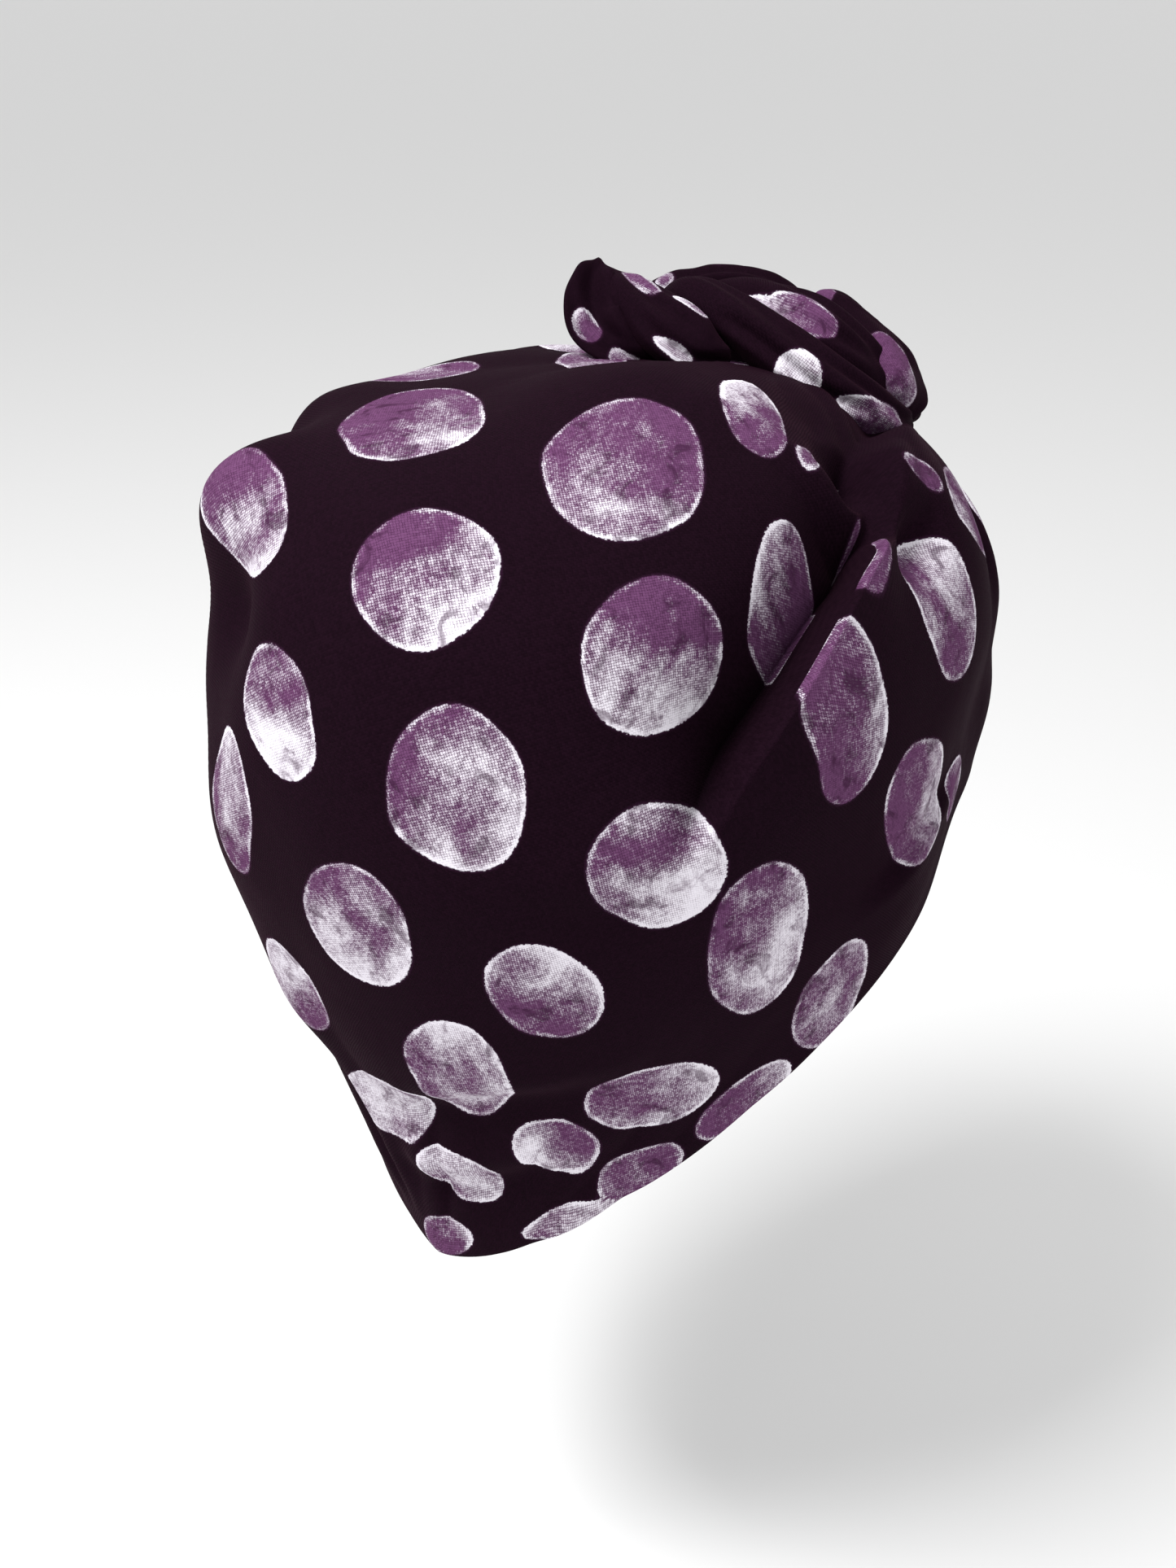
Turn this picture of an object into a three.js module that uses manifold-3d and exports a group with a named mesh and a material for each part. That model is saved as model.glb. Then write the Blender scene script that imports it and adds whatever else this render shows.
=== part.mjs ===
// Pre-tied turban: a hollow cloth cap that bags out at the back, with a knot of
// wound cloth on its top front. Millimetres, +Z up, the forehead faces -Y and the
// wearer's right is -X. The origin is the middle of the head at brow height.
import * as THREE from 'three';
import { mergeVertices } from 'three/addons/utils/BufferGeometryUtils.js';
import Module from 'manifold-3d';

// Sizes of the cap
const capHalfWidth = 91;
const capFront = 101;     // origin to the fullest point over the forehead
const capBack = 122;      // origin to the fullest point of the bag at the back
const capTop = 139;       // origin up to the top of the crown
const browLift = 28;      // origin up to the hem over the forehead
const napeDrop = 84;      // origin down to the hem at the nape
const earLift = 39;       // how far the hem arches up over the ears
const clothWall = 1.6;    // two layers of cloth with the air between them
const hemWall = 2.4;      // the turned hem
const hemBand = 12;       // height of the turned hem

// Sizes of the folds
const foldDepth = 9;
const foldWidth = 26;
const creaseWidth = 14;   // how wide the steep wall of a fold is
const puffHeight = 6;
const puffReach = 30;

// Sizes of the knot
const knotLength = 100;   // along its long axis
const knotDepth = 84;     // across it
const knotHeight = 36;
const knotAside = -3;      // from the middle to the wearer's left
const knotForward = 0.475; // of capFront, from the origin towards the forehead
const knotSink = 3;        // the knot's middle is this far below capTop
const knotYaw = 220;      // degrees about +Z that the long axis is turned
const knotTilt = 28;      // degrees that the knot leans forward over the forehead
const clothGap = 0.35;    // air between cloths that lie on each other

// Fineness of the faceted surfaces
const crownColumns = 60;
const crownRows = 26;
const rollRings = 16;
const rollSides = 14;

// Level sections of the crown from the hem (rise 0) to the top (rise 1). front,
// back and side are shares of capFront, capBack and capHalfWidth, frontHeight
// runs from the brow hem to capTop, backHeight from the nape hem to capTop, and
// taper above 1 draws the back half in towards a point.
const sections = [
  { rise: 0.00, front: 0.93, back: 0.71, right: 0.95, left: 0.95,
    frontHeight: 0.00, backHeight: 0.00, taper: 1.22 },
  { rise: 0.08, front: 0.97, back: 0.75, right: 0.97, left: 0.97,
    frontHeight: 0.10, backHeight: 0.09, taper: 1.20 },
  { rise: 0.20, front: 1.00, back: 0.82, right: 0.98, left: 0.98,
    frontHeight: 0.23, backHeight: 0.24, taper: 1.04 },
  { rise: 0.34, front: 1.00, back: 0.92, right: 0.99, left: 0.99,
    frontHeight: 0.38, backHeight: 0.41, taper: 0.96 },
  { rise: 0.48, front: 0.97, back: 1.00, right: 1.00, left: 1.00,
    frontHeight: 0.54, backHeight: 0.61, taper: 0.92 },
  { rise: 0.62, front: 0.88, back: 1.00, right: 0.93, left: 0.95,
    frontHeight: 0.70, backHeight: 0.78, taper: 0.92 },
  { rise: 0.74, front: 0.72, back: 0.93, right: 0.80, left: 0.86,
    frontHeight: 0.85, backHeight: 0.89, taper: 0.92 },
  { rise: 0.86, front: 0.47, back: 0.77, right: 0.57, left: 0.70,
    frontHeight: 0.95, backHeight: 0.97, taper: 0.92 },
  { rise: 0.95, front: 0.17, back: 0.51, right: 0.30, left: 0.43,
    frontHeight: 0.99, backHeight: 0.995, taper: 0.92 },
  { rise: 1.00, front: -0.20, back: 0.165, right: 0.00, left: 0.00,
    frontHeight: 1.00, backHeight: 1.00, taper: 0.92 },
];
const squareness = 0.92;  // below 1 makes a level section fuller than an ellipse
const archRise = 0.42;    // the rise at which the arch over the ears has faded out
const archSharpness = 1.6;

// Folds of the crown, each along a bent line from, through and to a place given
// as [bearing, rise]. Bearing is in degrees, 0 at the forehead, 90 at the wearer's
// right ear and 180 at the nape. The cloth dips on the right hand of the walk and
// stands up on its left hand. dip and ridge are shares of foldDepth, reach is a
// share of foldWidth, wall is the width of the steep side as a share of
// creaseWidth, and fadeIn and fadeOut are shares of the fold's length.
const folds = [
  { from: [30, 0.74], through: [56, 0.80], to: [84, 0.75],
    dip: 1.0, ridge: 0.3, reach: 0.5, wall: 1.2, fadeIn: 0.2, fadeOut: 0.1 },
  { from: [80, 0.72], through: [103, 0.618], to: [127, 0.460],
    dip: 1.9, ridge: 0.55, reach: 0.8, wall: 0.9, fadeIn: 0.15, fadeOut: 0.28 },
  { from: [62, 0.83], through: [76, 0.745], to: [87, 0.655],
    dip: 1.2, ridge: 0.2, reach: 0.4, wall: 1, fadeIn: 0.25, fadeOut: 0.25 },
  { from: [92, 0.64], through: [80, 0.68], to: [66, 0.715],
    dip: 0.7, ridge: 0.2, reach: 0.35, wall: 1.2, fadeIn: 0.4, fadeOut: 0.4 },
  { from: [150, 0.50], through: [137, 0.455], to: [118, 0.50],
    dip: 0.3, ridge: 0.1, reach: 0.9, wall: 2, fadeIn: 0.5, fadeOut: 0.4 },
  { from: [188, 0.20], through: [158, 0.24], to: [126, 0.20],
    dip: 0.4, ridge: 0.25, reach: 0.6, wall: 1.3, fadeIn: 0.2, fadeOut: 0.3 },
  { from: [190, 0.13], through: [162, 0.12], to: [138, 0.12],
    dip: 0.35, ridge: 0.25, reach: 0.5, wall: 1.3, fadeIn: 0.2, fadeOut: 0.3 },
  { from: [76, 0.31], through: [90, 0.31], to: [106, 0.28],
    dip: 0.3, ridge: 0.15, reach: 0.5, wall: 1.3, fadeIn: 0.3, fadeOut: 0.4 },
  { from: [24, 0.66], through: [40, 0.56], to: [58, 0.40],
    dip: 0.45, ridge: 0.3, reach: 0.7, wall: 1.6, fadeIn: 0.2, fadeOut: 0.5 },
  { from: [12, 0.62], through: [18, 0.44], to: [28, 0.24],
    dip: 0.4, ridge: 0.3, reach: 0.7, wall: 1.6, fadeIn: 0.2, fadeOut: 0.5 },
  { from: [350, 0.62], through: [346, 0.44], to: [338, 0.24],
    dip: 0.4, ridge: 0.3, reach: 0.7, wall: 2, fadeIn: 0.2, fadeOut: 0.5 },
  { from: [334, 0.68], through: [318, 0.60], to: [300, 0.44],
    dip: 0.6, ridge: 0.3, reach: 0.8, wall: 2, fadeIn: 0.2, fadeOut: 0.5 },
  { from: [318, 0.80], through: [292, 0.78], to: [262, 0.62],
    dip: 0.5, ridge: 0.3, reach: 0.8, wall: 2, fadeIn: 0.2, fadeOut: 0.5 },
];

// Places where the cloth puffs out, or in where height is negative, with height
// and reach as shares of puffHeight and puffReach.
const puffs = [
  { at: [246, 0.86], height: 0.6, reach: 0.5 },
  { at: [233, 0.80], height: -0.9, reach: 0.45 },
  { at: [219, 0.76], height: 1.5, reach: 0.55 },
  { at: [206, 0.655], height: -1.5, reach: 0.5 },
  { at: [206, 0.55], height: -0.4, reach: 0.6 },
  { at: [208, 0.42], height: 0.6, reach: 0.8 },
  { at: [215, 0.32], height: 0.4, reach: 1.0 },
  { at: [201, 0.26], height: 0.5, reach: 0.5 },
  { at: [80, 0.06], height: -0.5, reach: 0.7 },
  { at: [94, 0.24], height: 0.4, reach: 0.8 },
  { at: [290, 0.94], height: 0.2, reach: 1.1 },
  { at: [60, 0.90], height: 0.6, reach: 0.9 },
  { at: [67, 0.86], height: -0.7, reach: 0.5 },
  { at: [77, 0.695], height: -1.2, reach: 0.3 },
  { at: [62, 0.66], height: 0.4, reach: 0.8 },
  { at: [128, 0.56], height: -0.5, reach: 0.8 },
  { at: [135, 0.80], height: -1.0, reach: 1.2 },
  { at: [100, 0.97], height: 1.5, reach: 1.0 },
  { at: [66, 0.30], height: -0.7, reach: 0.8 },
];

// Rolls of cloth that make up the knot. The stations lie in the knot's own frame:
// along and up as shares of half knotLength and of knotHeight, away from the back
// of the cap as a share of half knotDepth, and wide and thick as shares of
// knotHeight. core is the place that the flat of the roll faces away from. A roll
// gives way to the ones before it in the list.
const rolls = [
  { name: 'knot_wrap', core: { along: 0.25, away: 0.55, up: -0.25 }, stations: [
    { along: -0.65, away: -0.05, up: 0.16, wide: 0.19, thick: 0.17 },
    { along: -0.51, away: -0.21, up: 0.20, wide: 0.31, thick: 0.25 },
    { along: -0.28, away: -0.36, up: 0.11, wide: 0.36, thick: 0.33 },
    { along: 0.00, away: -0.48, up: -0.04, wide: 0.43, thick: 0.39 },
    { along: 0.28, away: -0.50, up: -0.17, wide: 0.46, thick: 0.42 },
    { along: 0.55, away: -0.40, up: -0.21, wide: 0.40, thick: 0.36 },
    { along: 0.76, away: -0.24, up: -0.20, wide: 0.25, thick: 0.25 },
    { along: 0.85, away: -0.10, up: -0.13, wide: 0.11, thick: 0.11 } ] },
  { name: 'knot_crest', core: { along: 0.00, away: 0.45, up: -0.35 }, stations: [
    { along: -0.42, away: 0.00, up: 0.37, wide: 0.17, thick: 0.14 },
    { along: -0.22, away: -0.14, up: 0.33, wide: 0.39, thick: 0.28 },
    { along: -0.02, away: -0.26, up: 0.27, wide: 0.50, thick: 0.36 },
    { along: 0.18, away: -0.31, up: 0.21, wide: 0.56, thick: 0.42 },
    { along: 0.40, away: -0.29, up: 0.12, wide: 0.50, thick: 0.39 },
    { along: 0.60, away: -0.17, up: 0.03, wide: 0.36, thick: 0.28 },
    { along: 0.73, away: -0.05, up: -0.04, wide: 0.14, thick: 0.14 } ] },
  { name: 'knot_strap', core: { along: -0.75, away: 0.80, up: -0.30 }, stations: [
    { along: -0.98, away: -0.19, up: 0.22, wide: 0.08, thick: 0.08 },
    { along: -0.86, away: -0.31, up: 0.07, wide: 0.33, thick: 0.19 },
    { along: -0.71, away: -0.40, up: -0.04, wide: 0.42, thick: 0.25 },
    { along: -0.55, away: -0.48, up: -0.14, wide: 0.47, thick: 0.31 },
    { along: -0.39, away: -0.52, up: -0.21, wide: 0.39, thick: 0.28 },
    { along: -0.27, away: -0.50, up: -0.21, wide: 0.19, thick: 0.17 },
    { along: -0.21, away: -0.43, up: -0.18, wide: 0.08, thick: 0.08 } ] },
  { name: 'knot_ear', core: { along: -1.00, away: 1.20, up: 0.10 }, stations: [
    { along: -1.02, away: -0.19, up: 0.26, wide: 0.06, thick: 0.06 },
    { along: -1.02, away: -0.26, up: 0.13, wide: 0.25, thick: 0.14 },
    { along: -0.99, away: -0.31, up: -0.05, wide: 0.42, thick: 0.19 },
    { along: -0.93, away: -0.36, up: -0.23, wide: 0.42, thick: 0.22 },
    { along: -0.79, away: -0.40, up: -0.33, wide: 0.33, thick: 0.22 },
    { along: -0.63, away: -0.36, up: -0.34, wide: 0.19, thick: 0.19 },
    { along: -0.52, away: -0.29, up: -0.30, wide: 0.07, thick: 0.08 } ] },
  { name: 'knot_front_lobe', core: { along: 0.45, away: 0.15, up: -0.45 }, stations: [
    { along: 0.16, away: 0.19, up: 0.50, wide: 0.17, thick: 0.17 },
    { along: 0.25, away: 0.14, up: 0.55, wide: 0.39, thick: 0.25 },
    { along: 0.42, away: 0.07, up: 0.44, wide: 0.56, thick: 0.31 },
    { along: 0.58, away: 0.00, up: 0.29, wide: 0.69, thick: 0.36 },
    { along: 0.70, away: -0.05, up: 0.12, wide: 0.69, thick: 0.36 },
    { along: 0.78, away: -0.07, up: -0.03, wide: 0.50, thick: 0.33 },
    { along: 0.81, away: -0.10, up: -0.17, wide: 0.22, thick: 0.22 } ] },
  { name: 'knot_far_roll', core: { along: -0.10, away: 0.20, up: -0.60 }, stations: [
    { along: -0.72, away: 0.05, up: 0.17, wide: 0.14, thick: 0.14 },
    { along: -0.62, away: 0.14, up: 0.27, wide: 0.42, thick: 0.22 },
    { along: -0.46, away: 0.21, up: 0.38, wide: 0.56, thick: 0.26 },
    { along: -0.26, away: 0.26, up: 0.47, wide: 0.61, thick: 0.29 },
    { along: -0.05, away: 0.29, up: 0.51, wide: 0.56, thick: 0.29 },
    { along: 0.13, away: 0.26, up: 0.46, wide: 0.39, thick: 0.25 },
    { along: 0.26, away: 0.19, up: 0.36, wide: 0.17, thick: 0.17 } ] },
  { name: 'knot_far_wrap', core: { along: 0.00, away: 0.00, up: -0.25 }, stations: [
    { along: -0.92, away: 0.10, up: -0.12, wide: 0.34, thick: 0.30 },
    { along: -0.62, away: 0.38, up: -0.06, wide: 0.62, thick: 0.50 },
    { along: -0.16, away: 0.58, up: -0.03, wide: 0.74, thick: 0.58 },
    { along: 0.28, away: 0.60, up: -0.06, wide: 0.70, thick: 0.58 },
    { along: 0.62, away: 0.44, up: -0.15, wide: 0.50, thick: 0.46 },
    { along: 0.76, away: 0.24, up: -0.26, wide: 0.28, thick: 0.28 } ] },
];
const endRound = 0.2;     // share of a roll's length over which each end closes

const degree = Math.PI / 180;
const wasm = await Module();
wasm.setup();

// Smooth curve through the rows of a table, without overshoot: the value of one
// named column at a place along the key column.
function tableValue(rows, key, column, place) {
  const last = rows.length - 2;
  let row = 0;
  while (row < last && place > rows[row + 1][key]) row += 1;
  const step = (at) => rows[at + 1][key] - rows[at][key];
  const slope = (at) => (rows[at + 1][column] - rows[at][column]) / step(at);
  const tangent = (at) => {
    if (at === 0) return slope(0);
    if (at === rows.length - 1) return slope(last);
    return (slope(at - 1) * step(at) + slope(at) * step(at - 1)) / (step(at - 1) + step(at));
  };
  const length = step(row);
  const t = (place - rows[row][key]) / length;
  return (2 * t ** 3 - 3 * t ** 2 + 1) * rows[row][column]
    + (t ** 3 - 2 * t ** 2 + t) * length * tangent(row)
    + (3 * t ** 2 - 2 * t ** 3) * rows[row + 1][column]
    + (t ** 3 - t ** 2) * length * tangent(row + 1);
}

const signedPower = (value, power) => Math.sign(value) * Math.abs(value) ** power;
const smoothStep = (value) => THREE.MathUtils.smoothstep(value, 0, 1);

// A point of the crown without its folds.
function smoothCrown(bearing, rise) {
  const at = (column) => tableValue(sections, 'rise', column, rise);
  const frontY = -at('front') * capFront;
  const backY = at('back') * capBack;
  const frontZ = browLift + at('frontHeight') * (capTop - browLift);
  const backZ = -napeDrop + at('backHeight') * (capTop + napeDrop);
  const sine = Math.sin(bearing * degree);
  const cosine = Math.cos(bearing * degree);
  const toBack = smoothStep(0.5 - cosine);
  const power = THREE.MathUtils.lerp(squareness, at('taper'), toBack);
  const reach = signedPower(cosine, squareness);
  const middleY = (frontY + backY) / 2;
  const y = middleY - reach * (backY - frontY) / 2;
  const arch = earLift * (1 - smoothStep(rise / archRise)) * Math.abs(sine) ** archSharpness;
  const z = THREE.MathUtils.lerp(frontZ, backZ, (1 - reach) / 2) + arch;
  const side = sine > 0 ? at('right') : at('left');
  return new THREE.Vector3(-side * capHalfWidth * signedPower(sine, power), y, z);
}

// The outward direction of the crown without its folds.
function smoothNormal(bearing, rise) {
  const stepBearing = 0.5;
  const stepRise = 0.004;
  const low = Math.min(rise, 1 - 3 * stepRise);
  const across = smoothCrown(bearing + stepBearing, low).sub(smoothCrown(bearing - stepBearing, low));
  const upward = smoothCrown(bearing, low + stepRise).sub(smoothCrown(bearing, Math.max(low - stepRise, 0)));
  const normal = upward.cross(across).normalize();
  return rise > 1 - 2 * stepRise ? new THREE.Vector3(0, 0, 1) : normal;
}

// The middle line of each fold, as points on the smooth crown.
const foldLines = folds.map((fold) => {
  const points = [];
  const count = 12;
  for (let index = 0; index <= count; index += 1) {
    const t = index / count;
    const mix = (axis) => {
      const bend = 2 * fold.through[axis] - (fold.from[axis] + fold.to[axis]) / 2;
      return (1 - t) ** 2 * fold.from[axis] + 2 * t * (1 - t) * bend + t ** 2 * fold.to[axis];
    };
    points.push(smoothCrown(mix(0), mix(1)));
  }
  return { ...fold, points };
});

// How far one fold moves a place of the crown in or out.
function foldOffset(fold, place, normal) {
  let nearest = Infinity;
  let walked = 0;
  let side = 1;
  const segment = new THREE.Line3();
  const foot = new THREE.Vector3();
  for (let index = 0; index < fold.points.length - 1; index += 1) {
    segment.set(fold.points[index], fold.points[index + 1]);
    const t = segment.closestPointToPointParameter(place, true);
    segment.at(t, foot);
    const distance = foot.distanceTo(place);
    if (distance < nearest) {
      nearest = distance;
      walked = (index + t) / (fold.points.length - 1);
      const rightHand = segment.delta(new THREE.Vector3()).cross(normal);
      side = Math.sign(rightHand.dot(place.clone().sub(foot))) || 1;
    }
  }
  const strength = smoothStep(walked / fold.fadeIn) * smoothStep((1 - walked) / fold.fadeOut);
  const dipShare = smoothStep(0.5 + side * nearest / (fold.wall * creaseWidth));
  const fall = Math.exp(-((nearest / (fold.reach * foldWidth)) ** 1.5));
  return strength * foldDepth * fall * (fold.ridge * (1 - dipShare) - fold.dip * dipShare);
}

// A point of the folded crown's outer face.
function crownPoint(bearing, rise) {
  const place = smoothCrown(bearing, rise);
  const normal = smoothNormal(bearing, rise);
  let offset = 0;
  for (const fold of foldLines) offset += foldOffset(fold, place, normal);
  for (const puff of puffs) {
    const distance = place.distanceTo(smoothCrown(...puff.at));
    offset += puff.height * puffHeight * Math.exp(-((distance / (puff.reach * puffReach)) ** 2));
  }
  return place.addScaledVector(normal, offset);
}

// Bearings of the crown's columns. They stand closer together on the wearer's
// right, and lean there along the deepest fold, so that its edge runs with them.
const denseBearing = 110;
const denseShare = 0.4;
const mainFold = folds[1];
function columnBearing(column, rise) {
  const even = 360 * column / crownColumns;
  const walked = (rise - mainFold.to[1]) / (mainFold.from[1] - mainFold.to[1]);
  const lean = THREE.MathUtils.clamp(walked, 0, 1) * (mainFold.from[0] - mainFold.to[0]);
  return even - denseShare / degree * Math.sin((even - denseBearing) * degree) + lean;
}

// A closed body from vertices and triangles.
function makeSolid(points, triangles) {
  const geometry = new THREE.BufferGeometry();
  geometry.setAttribute('position', new THREE.Float32BufferAttribute(points.flatMap((p) => p.toArray()), 3));
  geometry.setIndex(triangles);
  return geometry;
}

// The rings of the crown from the hem up, each a list of points, and the top point.
function crownRings() {
  const rings = [];
  for (let row = 0; row < crownRows; row += 1) {
    const ring = [];
    for (let column = 0; column < crownColumns; column += 1) {
      ring.push(crownPoint(columnBearing(column, row / crownRows), row / crownRows));
    }
    rings.push(ring);
  }
  return { rings, top: crownPoint(0, 1) };
}

// Triangles of a skin of rings that ends in one point. The outside faces out when
// outward is true.
function skinTriangles(first, outward) {
  const triangles = [];
  const add = (a, b, c) => triangles.push(...(outward ? [a, b, c] : [a, c, b]));
  const at = (row, column) => first + row * crownColumns + (column % crownColumns);
  const top = first + crownRows * crownColumns;
  for (let column = 0; column < crownColumns; column += 1) {
    for (let row = 0; row < crownRows - 1; row += 1) {
      add(at(row, column), at(row + 1, column + 1), at(row, column + 1));
      add(at(row, column), at(row + 1, column), at(row + 1, column + 1));
    }
    add(at(crownRows - 1, column), top, at(crownRows - 1, column + 1));
  }
  return triangles;
}

// Vertex normals of the crown's outer skin.
function skinNormals(points) {
  const skin = makeSolid(points, skinTriangles(0, true));
  skin.computeVertexNormals();
  const values = skin.getAttribute('normal');
  return points.map((_, index) => new THREE.Vector3().fromBufferAttribute(values, index));
}

// The crown as a cloth wall: outer skin, inner skin and the turned hem between.
function crownGeometry() {
  const { rings, top } = crownRings();
  const outer = [...rings.flat(), top];
  const normals = skinNormals(outer);
  const inner = outer.map((point, index) => {
    const row = Math.min(Math.floor(index / crownColumns), crownRows - 1);
    const aboveHem = point.distanceTo(outer[index % crownColumns]);
    const wall = row === 0 || aboveHem < hemBand ? hemWall : clothWall;
    return point.clone().addScaledVector(normals[index], -wall);
  });
  const triangles = [...skinTriangles(0, true), ...skinTriangles(outer.length, false)];
  for (let column = 0; column < crownColumns; column += 1) {
    const next = (column + 1) % crownColumns;
    triangles.push(column, next, outer.length + column);
    triangles.push(next, outer.length + next, outer.length + column);
  }
  return makeSolid([...outer, ...inner], triangles);
}

// The crown filled in and grown by the gap, to cut the knot to the cap's shape.
function crownFormer() {
  const { rings, top } = crownRings();
  const outer = [...rings.flat(), top];
  const normals = skinNormals(outer);
  const grown = outer.map((point, index) => point.clone().addScaledVector(normals[index], clothGap));
  const bottom = new THREE.Vector3();
  for (const point of rings[0]) bottom.addScaledVector(point, 1 / crownColumns);
  const triangles = skinTriangles(0, true);
  for (let column = 0; column < crownColumns; column += 1) {
    triangles.push(grown.length, column, (column + 1) % crownColumns);
  }
  return makeSolid([...grown, bottom], triangles);
}

const knotSeat = new THREE.Vector3(knotAside, -knotForward * capFront, capTop - knotSink);
const knotFrame = new THREE.Matrix4().makeRotationX(knotTilt * degree)
  .multiply(new THREE.Matrix4().makeRotationZ(knotYaw * degree))
  .setPosition(knotSeat);

// One roll of the knot: rings along its stations, flat side outwards, closed to a
// point at both ends. extra grows it all round.
function rollGeometry({ core, stations }, extra) {
  const inKnot = ({ along, away, up }) => new THREE.Vector3(
    along * knotLength / 2, away * knotDepth / 2, up * knotHeight);
  const path = new THREE.CatmullRomCurve3(stations.map(inKnot));
  const rows = stations.map(({ wide, thick }, index) => ({ place: index, wide, thick }));
  const points = [];
  const triangles = [];
  for (let ring = 0; ring <= rollRings; ring += 1) {
    const t = 0.5 - 0.5 * Math.cos(Math.PI * ring / rollRings);
    const centre = path.getPoint(t);
    const along = path.getTangent(t);
    const out = centre.clone().sub(inKnot(core));
    out.addScaledVector(along, -out.dot(along)).normalize();
    const across = along.clone().cross(out);
    const end = Math.min(t, 1 - t, endRound) / endRound;
    const round = Math.sqrt(1 - (1 - end) ** 2);
    const place = t * (stations.length - 1);
    const wide = round * tableValue(rows, 'place', 'wide', place) * knotHeight / 2 + extra;
    const thick = round * tableValue(rows, 'place', 'thick', place) * knotHeight / 2 + extra;
    if (ring === 0 || ring === rollRings) {
      points.push(centre.addScaledVector(along, ring === 0 ? -extra : extra));
      continue;
    }
    for (let side = 0; side < rollSides; side += 1) {
      const turn = 2 * Math.PI * side / rollSides;
      points.push(centre.clone().addScaledVector(across, wide * signedPower(Math.cos(turn), squareness))
        .addScaledVector(out, thick * signedPower(Math.sin(turn), squareness)));
    }
  }
  const at = (ring, side) => 1 + (ring - 1) * rollSides + (side % rollSides);
  for (let side = 0; side < rollSides; side += 1) {
    triangles.push(0, at(1, side), at(1, side + 1));
    for (let ring = 1; ring < rollRings - 1; ring += 1) {
      triangles.push(at(ring, side), at(ring + 1, side), at(ring, side + 1));
      triangles.push(at(ring, side + 1), at(ring + 1, side), at(ring + 1, side + 1));
    }
    triangles.push(points.length - 1, at(rollRings - 1, side + 1), at(rollRings - 1, side));
  }
  return makeSolid(points.map((point) => point.applyMatrix4(knotFrame)), triangles);
}

function toManifold(geometry) {
  const merged = mergeVertices(geometry);
  return new wasm.Manifold(new wasm.Mesh({
    numProp: 3,
    vertProperties: new Float32Array(merged.getAttribute('position').array),
    triVerts: new Uint32Array(merged.index.array),
  }));
}

function fromManifold(solid) {
  const { vertProperties, triVerts } = solid.getMesh();
  const geometry = new THREE.BufferGeometry();
  geometry.setAttribute('position', new THREE.BufferAttribute(vertProperties, 3));
  geometry.setIndex(new THREE.BufferAttribute(triVerts, 1));
  return geometry;
}

// The largest body of a cut solid, without the slivers that a cut can leave.
function mainBody(solid) {
  return solid.decompose().sort((one, other) => other.volume() - one.volume())[0];
}

function clothMaterial(colour) {
  return new THREE.MeshStandardMaterial({ color: colour, roughness: 0.82, metalness: 0 });
}

function addPiece(group, name, geometry, colour) {
  const flat = geometry.toNonIndexed();
  flat.computeVertexNormals();
  const mesh = new THREE.Mesh(flat, clothMaterial(colour));
  mesh.name = name;
  group.add(mesh);
}

const plum = 0x281923;
const knotPlum = 0x2c1c28;

const turban = new THREE.Group();
addPiece(turban, 'crown', crownGeometry(), plum);

const knot = new THREE.Group();
turban.add(knot);
let taken = toManifold(crownFormer());
for (const roll of rolls) {
  const body = mainBody(toManifold(rollGeometry(roll, 0)).subtract(taken));
  addPiece(knot, roll.name, fromManifold(body), knotPlum);
  taken = taken.add(toManifold(rollGeometry(roll, clothGap)));
}

export default turban;
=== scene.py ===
"""Pre-tied turban: a spotted cloth cap that bags out at the back, with a wound knot.

Metres, +Z up, the forehead faces -Y and the wearer's right is -X. The origin is the
middle of the cap's hollow at brow height.
"""

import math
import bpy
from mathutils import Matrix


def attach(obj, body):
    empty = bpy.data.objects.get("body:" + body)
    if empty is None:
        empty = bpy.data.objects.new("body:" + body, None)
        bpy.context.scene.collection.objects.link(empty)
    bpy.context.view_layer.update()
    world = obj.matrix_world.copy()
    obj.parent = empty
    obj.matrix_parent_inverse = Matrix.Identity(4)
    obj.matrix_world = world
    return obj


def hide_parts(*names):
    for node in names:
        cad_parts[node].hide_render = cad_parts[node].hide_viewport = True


bl_info = {
    "name": "Pre-tied turban",
    "version": (1, 0, 0),
    "blender": (4, 5, 0),
    "location": "3D View > Sidebar > Turban",
    "description": "Builds a hollow spotted cloth cap with a knot of wound cloth",
    "category": "Add Mesh",
}

import bpy
import numpy as np
from bpy.props import (
    FloatProperty,
    FloatVectorProperty,
    IntProperty,
    PointerProperty,
)
from mathutils import Matrix, Vector, noise

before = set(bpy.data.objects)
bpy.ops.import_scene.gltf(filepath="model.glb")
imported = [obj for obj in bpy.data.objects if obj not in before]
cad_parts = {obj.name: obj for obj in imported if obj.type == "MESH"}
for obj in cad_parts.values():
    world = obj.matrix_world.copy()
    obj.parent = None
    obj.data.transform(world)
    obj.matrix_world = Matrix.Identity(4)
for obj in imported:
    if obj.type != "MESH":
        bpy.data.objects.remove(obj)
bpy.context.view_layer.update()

MM = 0.001

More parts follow.
